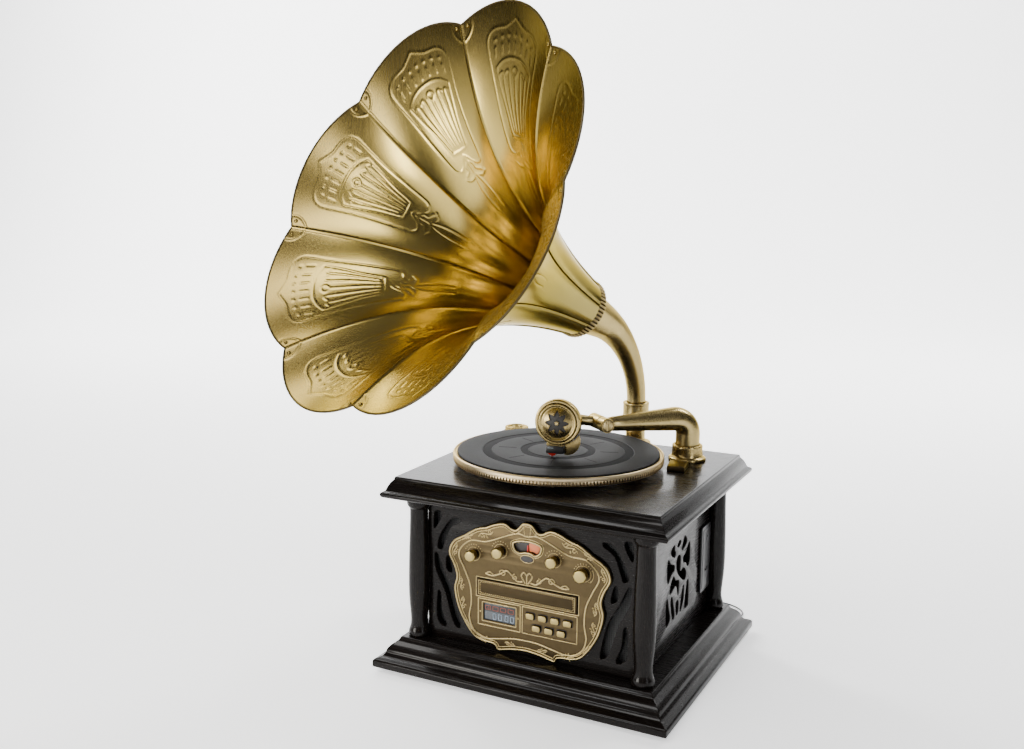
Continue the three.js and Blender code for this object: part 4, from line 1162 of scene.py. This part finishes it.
def soundbox():
    face = HEAD_TURN @ TOWARDS_REAR
    can = turned_mesh(smoothed([
        (0, -10), (27, -10), (30.4, -9.2), (32.2, -7), (32.5, -5), (32.5, 3), (31.9, 4.6), (30.6, 5),
        (28.4, 5), (27.6, 4.4), (27.6, -5), (0, -5),
    ], 0.5), HEAD_AT, face, 128)
    shoe = [head_point(x, y, z) for z in (-31, -34) for x, y in
            ((-8, -12), (16, -12), (16, 1), (-8, 1))]
    points, faces = joined([can, block(shoe)])
    build("soundbox_can", points, faces, "brass", "head", "brass", ("soundbox_body",))

    # The domed cover, pierced with a flower of eight pointed petals over a dark back.
    flower_low, flower_high = 1.8, 17.4

    def dome(r):
        """Height of the cover above the can at radius r."""
        profile = [(0, 9.6), (6, 9.4), (12, 8.7), (15, 8.1), (18.5, 6.9), (21.2, 5.7), (22.2, 5.4),
                   (23.2, 5.9), (24.4, 6.7), (25.6, 6.9), (26.6, 6.4), (27.2, 5.4), (27.3, 1)]
        for (r0, y0), (r1, y1) in zip(profile, profile[1:]):
            if r <= r1:
                return y0 + (y1 - y0) * (r - r0) / (r1 - r0)
        return profile[-1][1]

    def petal_depth(r, t):
        """How deep the cut-out petals lie: one every eighth of a turn, pointed at both ends."""
        if not flower_low < r < flower_high:
            return 0.0
        off = abs((t + math.pi / 8) % (math.pi / 4) - math.pi / 8)
        along = (r - flower_low) / (flower_high - flower_low)
        return 2.6 if off * r < 3.9 * math.sin(math.pi * along) else 0.0

    rows = [0.9 + 0.22 * i for i in range(77)] + [18.0 + 0.45 * i for i in range(21)]
    sides = 256
    grid = []
    for r in rows:
        for j in range(sides):
            t = 2 * math.pi * j / sides
            y = dome(r) - petal_depth(r, t)
            grid.append(head_point(r * math.sin(t), y, r * math.cos(t)))
    faces = lattice(len(rows), sides)
    grid.append(head_point(0, dome(0), 0))
    faces += [(len(grid) - 1, j, (j + 1) % sides) for j in range(sides)]
    back = len(grid)
    rim = rows[-1]
    for r, y in ((rim, 0.5), (24, 0.2)):
        for j in range(sides):
            t = 2 * math.pi * j / sides
            grid.append(head_point(r * math.sin(t), y, r * math.cos(t)))
    outer = (len(rows) - 1) * sides
    for j in range(sides):
        k = (j + 1) % sides
        faces.append((outer + j, outer + k, back + k, back + j))
        faces.append((back + j, back + k, back + sides + k, back + sides + j))
    faces.append(tuple(back + sides + j for j in range(sides)))
    build("soundbox_dome", grid, faces, "brass", "head", "brass", ("soundbox_cover",), 35)
    turned("flower_back", [(0, 7.6), (6, 7.4), (12, 6.7), (16, 5.9), (17.6, 5.4), (17.6, 4.2),
                           (0, 4.2)],
           HEAD_AT, "ink", "head", "plastic", matrix=face, segments=64)

    softened("cartridge", "plastic", 0.5)
    softened("stylus", "red", 0.25)
    mark = [head_point(x, 1.05, -37.5) for x in (6, 14)]
    beads("cartridge_mark", [(mark, 0.55 * MM, False)], "digit", "head", "plastic")
    leaf = [(-8.4, -34), (-8.4, -47), (-14, -47.3), (-21.5, -44.5), (-27.5, -38.5), (-31, -30),
            (-30.8, -23), (-28.9, -17.5)]
    inner = [(33.3 * math.cos(math.radians(a)), 33.3 * math.sin(math.radians(a)))
             for a in range(213, 256, 6)]
    mesh = shape_mesh(leaf + inner, [], 1.4, 0.3)
    mesh.transform(Matrix.Translation(head_point(0, -4.6, 0)) @ (HEAD_TURN @ FRONT_FACING).to_4x4())
    finish_piece("finger_leaf", mesh, "brass", "head", ("finger_lift",))


tonearm()


# ------------------------------------------------------------------ horn
PETALS = 8
NOTCH_R, PETAL_R = 264.5, 287.5
NECK_R, FLARE, BELL_LENGTH = 18.0, 145.0, 334.0
LEAN, WALL, FIRST_NOTCH = 0.31, 1.2, 98.5
HORN_SIDE = Vector((0, 0, 1)).cross(HORN_AXIS).normalized()
HORN_UP = HORN_AXIS.cross(HORN_SIDE)
HALF_PETAL = math.pi / PETALS


def rim_radius(angle):
    """The scalloped rim: one arc from notch to notch. Angle from the petal's middle."""
    chord, reach = NOTCH_R * math.cos(HALF_PETAL), NOTCH_R * math.sin(HALF_PETAL)
    arc = (reach ** 2 + (PETAL_R - chord) ** 2) / (2 * (PETAL_R - chord))
    centre = PETAL_R - arc
    return centre * np.cos(angle) + np.sqrt(arc ** 2 - (centre * np.sin(angle)) ** 2)


def bell_surface(depth, angle):
    """Radius and distance behind the mouth, in mm, for arrays of depth and petal angle."""
    rim = rim_radius(angle)
    seam = NECK_R + (NOTCH_R - NECK_R) * np.exp(-depth / FLARE)
    full = 1 - 0.8 * (np.maximum(depth, 0) / BELL_LENGTH) ** 0.8
    radius = seam * (1 + full * (rim / NOTCH_R - 1))
    back = depth - LEAN * (rim - NOTCH_R) * np.exp(-depth / 30)
    return radius, back


def meridian():
    """Depths along the petal's middle and the length of the surface up to each."""
    depth = np.linspace(0, BELL_LENGTH, 1500)
    radius, back = bell_surface(depth, 0.0)
    length = np.concatenate([[0], np.cumsum(np.hypot(np.diff(radius), np.diff(back)))])
    return depth, length


# The pressed pattern on each petal, as lines of (distance from the rim's tip, offset) in mm.
SHIELD = [(20, 0), (26, 10), (31, 21), (31.5, 33), (32.5, 44), (37, 52), (46, 55), (60, 52.5),
          (80, 47), (110, 39.5), (150, 31.5), (180, 26), (193, 22.5), (198, 15), (193, 8),
          (186, 4.5), (181, 0)]
FAN_ARC = [(82, 37), (75, 27), (71, 14), (70, 0)]
FAN_SIDE = [(82, 37), (110, 29), (140, 20), (170, 13.5)]
FLUTES = [[(92, 31.5), (88, 27), (93, 24), (110, 21), (140, 14.5), (165, 9.5)],
          [(90, 20), (86, 15.5), (91, 12.5), (110, 11), (140, 8), (166, 5.5)]]
HEART = [(95, 0), (88, 5.5), (83, 3), (82, 0)]
MIDDLE_FLUTE = [(95, 0), (130, 0), (167, 0)]
FAN_FOOT = [(166, 13.5), (172, 12.5), (173.5, 6), (174, 0)]
TULIP = [[(186, 0), (196, 0), (209, 0)], [(190, 0), (197, 6.5), (203, 6), (208, 13)],
         [(209, 0), (214, 4), (216, 11), (211, 17)], [(209, 0), (224, 4), (246, 6), (270, 5)]]
DOT_OFFSETS = (0.0, 13.5, 27.0, 40.5)
# Height of each pressed shape and how far its slope spreads, in mm.
LINE_HEIGHT, LINE_SPREAD = 0.62, 1.25
DOT_HEIGHT, DOT_SPREAD = 0.75, 2.0
SEAM_HEIGHT, SEAM_SPREAD = 1.3, 1.6
TAB_HEIGHT, TAB_SPREAD, TAB_RADIUS, TAB_FROM_RIM = 0.7, 1.5, 19, 8
RIM_RADIUS = 1.5


def pressed_lines():
    """Every pressed line as an array of points, both halves of the petal."""
    halves = [SHIELD, FAN_ARC, FAN_SIDE, *FLUTES, HEART, FAN_FOOT, *TULIP]
    lines = [(MIDDLE_FLUTE, 0)]
    for half in halves:
        lines += [(half, 1), (half, -1)]
    out = []
    for half, sign in lines:
        points = spline([(s, w * (sign or 1), 0) for s, w in half], 8 * len(half))
        out.append(np.array([[p.x, p.y] for p in points]))
    for w in DOT_OFFSETS:
        for sign in ((1, -1) if w else (1,)):
            start = 51 + 5 * (w / 40) ** 2
            out.append(np.array([[start, w * sign], [start + 11, w * sign * 0.97]]))
    return out


def distance_to(line, s, w):
    """Distance in mm from each grid point to a line of points."""
    best = np.full(s.shape, 1e9)
    for a, b in zip(line, line[1:]):
        edge = b - a
        t = ((s - a[0]) * edge[0] + (w - a[1]) * edge[1]) / max(edge @ edge, 1e-9)
        t = np.clip(t, 0, 1)
        best = np.minimum(best, np.hypot(s - a[0] - t * edge[0], w - a[1] - t * edge[1]))
    return best


def relief(s, w, seam_w):
    """Height of the pressing above the petal's smooth surface, in mm."""
    def ridge(far, high, spread):
        return high * np.exp(-(far / spread) ** 2)

    height = np.zeros(s.shape)
    for line in pressed_lines():
        height = np.maximum(height, ridge(distance_to(line, s, w), LINE_HEIGHT, LINE_SPREAD))
    for offset in DOT_OFFSETS:
        for sign in (1, -1):
            far = np.hypot(s - (41 + 5 * (offset / 40) ** 2), w - sign * offset)
            height = np.maximum(height, ridge(far, DOT_HEIGHT, DOT_SPREAD))
    to_seam = seam_w - np.abs(w)
    height = np.maximum(height, ridge(to_seam, SEAM_HEIGHT, SEAM_SPREAD))
    tab = np.abs(np.hypot(s - TAB_FROM_RIM, to_seam) - TAB_RADIUS)
    return np.maximum(height, ridge(tab, TAB_HEIGHT, TAB_SPREAD))


def horn_point(radius, back, turn):
    return (HORN_MOUTH + (HORN_SIDE * math.cos(turn) + HORN_UP * math.sin(turn)) * radius * MM
            - HORN_AXIS * back * MM)


def petal_grids():
    """Inner and outer surface of one petal: arrays of radius, back and angle."""
    depth_table, length_table = meridian()
    fine = np.arange(0, 284, 1.75)
    coarse = np.linspace(284, length_table[-1], 30)
    s_values = np.concatenate([fine, coarse])
    columns = 113
    angles = np.linspace(-HALF_PETAL, HALF_PETAL, columns)
    depth = np.interp(s_values, length_table, depth_table)
    d, a = np.meshgrid(depth, angles, indexing="ij")
    s = np.meshgrid(s_values, angles, indexing="ij")[0]
    radius, back = bell_surface(d, a)
    w, seam_w = a * radius, HALF_PETAL * radius
    height = relief(s, w, seam_w)
    xyz = np.stack([radius * np.cos(a), radius * np.sin(a), -back], axis=-1)
    normal = np.cross(np.gradient(xyz, axis=1), np.gradient(xyz, axis=0))
    normal /= np.linalg.norm(normal, axis=-1, keepdims=True)
    # The inner face looks towards the axis and out of the mouth.
    if normal[10, columns // 2, 2] < 0:
        normal = -normal
    inner = xyz + normal * height[..., None]
    outer = xyz - normal * (WALL - height[..., None] * 0.85)
    return inner, outer


def to_row(points, turn):
    """Points in the petal's own axes, in mm, to the row frame in metres."""
    c, s = math.cos(turn), math.sin(turn)
    x = points[..., 0] * c - points[..., 1] * s
    y = points[..., 0] * s + points[..., 1] * c
    side, up, axis = (np.array(v) for v in (HORN_SIDE, HORN_UP, HORN_AXIS))
    spread = x[..., None] * side + y[..., None] * up + points[..., 2][..., None] * axis
    return np.array(HORN_MOUTH) + spread * MM


def horn():
    inner, outer = petal_grids()
    rows, columns = inner.shape[:2]
    size = rows * columns
    faces = lattice(rows, columns, False)
    faces += [tuple(size + j for j in reversed(face)) for face in lattice(rows, columns, False)]
    edge = [i * columns for i in range(rows)]
    edge += [(rows - 1) * columns + j for j in range(1, columns)]
    edge += [i * columns + columns - 1 for i in reversed(range(rows - 1))]
    edge += list(reversed(range(1, columns - 1)))
    for a, b in zip(edge, edge[1:] + edge[:1]):
        faces.append((a, b, size + b, size + a))
    inside_faces = (rows - 1) * (columns - 1)
    for k in range(PETALS):
        turn = math.radians(FIRST_NOTCH) + HALF_PETAL * (2 * k + 1)
        points = np.concatenate([to_row(g, turn).reshape(-1, 3) for g in (inner, outer)])
        petal = build(f"horn_petal_{k + 1}", points.tolist(), faces, "horn_inside", "horn",
                      "horn_brass", ("horn_bell",), 60)
        petal.data.materials.append(MATERIALS["horn_outside"])
        index = [0 if i < inside_faces else 1 for i in range(len(petal.data.polygons))]
        petal.data.polygons.foreach_set("material_index", index)
    rim, seams, rivets = [], [], []
    rivet_profile = [(0, -2.4), (3.0, -2.4), (3.0, 0.1), (2.6, 1.0), (1.6, 1.7), (0, 2.0)]
    for k in range(PETALS):
        turn = math.radians(FIRST_NOTCH) + HALF_PETAL * (2 * k + 1)
        for j in range(28):
            angle = -HALF_PETAL + 2 * HALF_PETAL * j / 28
            radius, back = bell_surface(0.0, angle)
            rim.append(horn_point(float(radius) - 0.4, float(back) + 0.4, turn + angle))
        seam = []
        for depth in np.linspace(3, BELL_LENGTH - 1, 40):
            radius, back = bell_surface(depth, HALF_PETAL)
            seam.append(horn_point(float(radius) + 1.5, float(back) + 1.0, turn + HALF_PETAL))
        seams.append((seam, 1.5 * MM, False))
        for side in (-1, 1):
            place, outward = petal_place(turn, side, 9.0, 10.5)
            facing = outward.to_track_quat("Z", "Y").to_matrix()
            rivets.append(turned_mesh(rivet_profile, place, facing, 20))
    # The rim bead's near-black colour is painted shade.
    beads("horn_rim", [(rim, RIM_RADIUS * MM, True)], "rim_dark", "horn", "horn_brass")
    beads("horn_seams", seams, "horn_outside", "horn", "horn_brass")
    build("horn_rivets", *joined(rivets), "horn_inside", "horn", "horn_brass", sharp=50)
    neck_ring()
    elbow()
    turned("horn_stand", [
        (11, 282.3), (24, 282.3), (24, 284.6), (23, 286.6), (20, 287.8), (16.2, 288.4), (14.8, 290),
        (14.75, 322.5), (15.2, 323.6), (19.2, 324), (20, 324.8), (20, 327.4), (19.6, 328), (19.6, 344),
        (20, 344.8), (20, 347.2), (19.2, 348), (14.6, 348), (14.6, 330), (11, 330),
    ], at(29.9, 169.5, 0), "neck", "cabinet", "brass", ("horn_post",), segments=96)


def petal_place(turn, side, s, from_seam):
    """A point on the inner face near a seam, and the way the face looks there."""
    depth_table, length_table = meridian()
    depth = float(np.interp(s, length_table, depth_table))
    radius, back = (float(v) for v in bell_surface(depth, HALF_PETAL))
    angle = side * (HALF_PETAL - from_seam / radius)

    def spot(d, a):
        r, b = (float(v) for v in bell_surface(d, a))
        return horn_point(r, b, turn + a)
    here = spot(depth, angle)
    normal = (spot(depth + 1, angle) - here).cross(spot(depth, angle + 0.01) - here).normalized()
    if normal.dot(HORN_AXIS) < 0:
        normal = -normal
    return here, normal


def neck_ring():
    """The ribbed collar where the bell meets the neck."""
    matrix = Matrix((HORN_SIDE, HORN_UP, HORN_AXIS)).transposed()
    back = BELL_LENGTH + 0.3

    turned("neck_collar", [
        (37.6, -back - 14), (42.4, -back - 14), (43.2, -back - 12.8), (43.2, -back - 1.2),
        (42.4, -back), (37.6, -back),
    ], HORN_MOUTH, "rim_dark", "horn", "brass", ("horn_ring",), matrix, 128, 0.4)
    ribs = []
    for i in range(48):
        t = 2 * math.pi * i / 48
        outward = HORN_SIDE * math.cos(t) + HORN_UP * math.sin(t)
        path = [HORN_MOUTH + (outward * r - HORN_AXIS * (back + d)) * MM
                for r, d in ((42, 0.7), (43.3, 1.8), (43.6, 7), (43.3, 12.2), (42, 13.3))]
        ribs.append((path, 1.45 * MM, False))
    beads("neck_ribs", ribs, "bronze_light", "horn", "brass")


def elbow():
    """The bent neck: straight out of the ring, then one bend down into the post's collar."""
    post = at(29.9, 169.5, 348)
    start = HORN_MOUTH - HORN_AXIS * (BELL_LENGTH + 0.5) * MM
    level = Vector((-HORN_AXIS.x, -HORN_AXIS.y, 0)).normalized()
    tilt = math.radians(26.18)
    run = (post - start).dot(level)
    drop = start.z - post.z
    bend = ((drop - run * math.tan(tilt))
            / (math.cos(tilt) - (1 - math.sin(tilt)) * math.tan(tilt)))
    straight_run = (run - bend * (1 - math.sin(tilt))) / math.cos(tilt)
    total = straight_run + bend * (math.pi / 2 - tilt)
    side = Vector((0, 0, 1)).cross(level)
    stations = []

    def place(h, z, angle, s):
        centre = start + level * h
        centre.z = z
        along = level * math.cos(angle) - Vector((0, 0, 1)) * math.sin(angle)
        radius = (14.2 + 23 * (1 - min(s / total, 1)) ** 2) * MM
        stations.append((centre, side.cross(along), radius))

    for i in range(6):
        s = straight_run * i / 6
        place(s * math.cos(tilt), start.z - s * math.sin(tilt), tilt, s)
    h0, z0 = straight_run * math.cos(tilt), start.z - straight_run * math.sin(tilt)
    for i in range(25):
        angle = tilt + (math.pi / 2 - tilt) * i / 24
        place(h0 + bend * (math.sin(angle) - math.sin(tilt)),
              z0 - bend * (math.cos(tilt) - math.cos(angle)), angle,
              straight_run + bend * (angle - tilt))
    place(run, 0.3303, math.pi / 2, total)
    sides = 64
    outer = [ring(c, side, up, r, sides) for c, up, r in stations]
    inner = [ring(c, side, up, r - 1.8 * MM, sides) for c, up, r in stations][::-1]
    points = [p for loop in outer + inner for p in loop]
    build("horn_neck", points, lattice(2 * len(stations), sides, True, True), "neck", "horn",
          "horn_brass", ("horn_elbow",), 50)


horn()


# ------------------------------------------------------------------ floor and light
def stage():
    """A pale floor that curves up far behind the object."""
    steps, width, front, depth, bend, wall_top = 24, 9.0, -5.0, 3.2, 2.2, 6.0
    profile = [(front, 0.0)]
    for i in range(steps + 1):
        t = math.pi / 2 * i / steps
        profile.append((depth + bend * math.sin(t), bend * (1 - math.cos(t))))
    profile.append((depth + bend, wall_top))
    points, faces = [], []
    for y, z in profile:
        points += [(-width, y, z), (width, y, z)]
    for i in range(len(profile) - 1):
        faces.append((2 * i, 2 * i + 1, 2 * i + 3, 2 * i + 2))
    n = Nodes("studio_floor")
    fine = n.noise(n.place(), 3.0, 4.0, 0.5)
    n.link(n.mix(fine, (0.90, 0.90, 0.90), (0.93, 0.93, 0.93)), "Base Color")
    n.set(Roughness=0.7, Specular_IOR_Level=0.1)
    n.set(Emission_Color=(1, 1, 1, 1), Emission_Strength=0.8)
    mesh = bpy.data.meshes.new("studio_floor")
    mesh.from_pydata(points, [], faces)
    mesh.materials.append(n.material)
    mesh.polygons.foreach_set("use_smooth", [True] * len(mesh.polygons))
    floor = bpy.data.objects.new("studio_floor", mesh)
    bpy.context.scene.collection.objects.link(floor)
    floor.rotation_euler.z = math.radians(28.9)


def area_light(name, place, aim, size, power, colour=(1, 1, 1)):
    data = bpy.data.lights.new(name, "AREA")
    data.shape = "RECTANGLE"
    data.size, data.size_y = size
    data.energy = power
    data.color = colour
    light = bpy.data.objects.new(name, data)
    light.location = place
    light.rotation_euler = (Vector(aim) - Vector(place)).to_track_quat("-Z", "Y").to_euler()
    bpy.context.scene.collection.objects.link(light)


def lights():
    aim = at(-60, -60, 420)
    area_light("overhead", (-0.45, -1.3, 2.45), aim, (2.0, 0.6), 50, (1, 0.99, 0.97))
    area_light("left_high", (-1.7, 0.1, 2.2), aim, (0.6, 0.6), 16, (1, 0.98, 0.95))
    area_light("low_front", (-1.0, -1.7, 0.32), at(-220, -330, 750), (0.9, 0.35), 24, (1, 0.97, 0.9))
    area_light("right_strip", (2.0, -1.1, 0.9), aim, (0.22, 1.5), 12, (0.97, 0.985, 1))
    area_light("front_table", (-0.9, -3.2, 1.9), (-0.5, -1.9, 0), (1.6, 0.6), 60)
    area_light("back_left", (-2.8, 1.8, 2.6), (-1.4, 4.4, 0.8), (2.2, 1.4), 330)
    area_light("back_right", (1.6, 2.6, 2.8), (-0.4, 4.6, 0.9), (2.2, 1.4), 330)
    world = bpy.data.worlds.new("studio")
    world.use_nodes = True
    tree = world.node_tree
    background = tree.nodes["Background"]
    sky = tree.nodes.new("ShaderNodeTexCoord")
    height = tree.nodes.new("ShaderNodeSeparateXYZ")
    fade = tree.nodes.new("ShaderNodeValToRGB")
    tree.links.new(sky.outputs["Generated"], height.inputs[0])
    tree.links.new(height.outputs["Z"], fade.inputs["Fac"])
    seen = tree.nodes.new("ShaderNodeLightPath")
    choose = tree.nodes.new("ShaderNodeMix")
    choose.data_type = "RGBA"
    choose.inputs[7].default_value = (1.5, 1.5, 1.5, 1)
    tree.links.new(seen.outputs["Is Camera Ray"], choose.inputs[0])
    tree.links.new(fade.outputs["Color"], choose.inputs[6])
    tree.links.new(choose.outputs[2], background.inputs["Color"])
    fade.color_ramp.elements[0].color = (0.06, 0.06, 0.062, 1)
    fade.color_ramp.elements[1].color = (0.30, 0.30, 0.31, 1)
    background.inputs["Strength"].default_value = 0.6
    bpy.context.scene.world = world


stage()
lights()
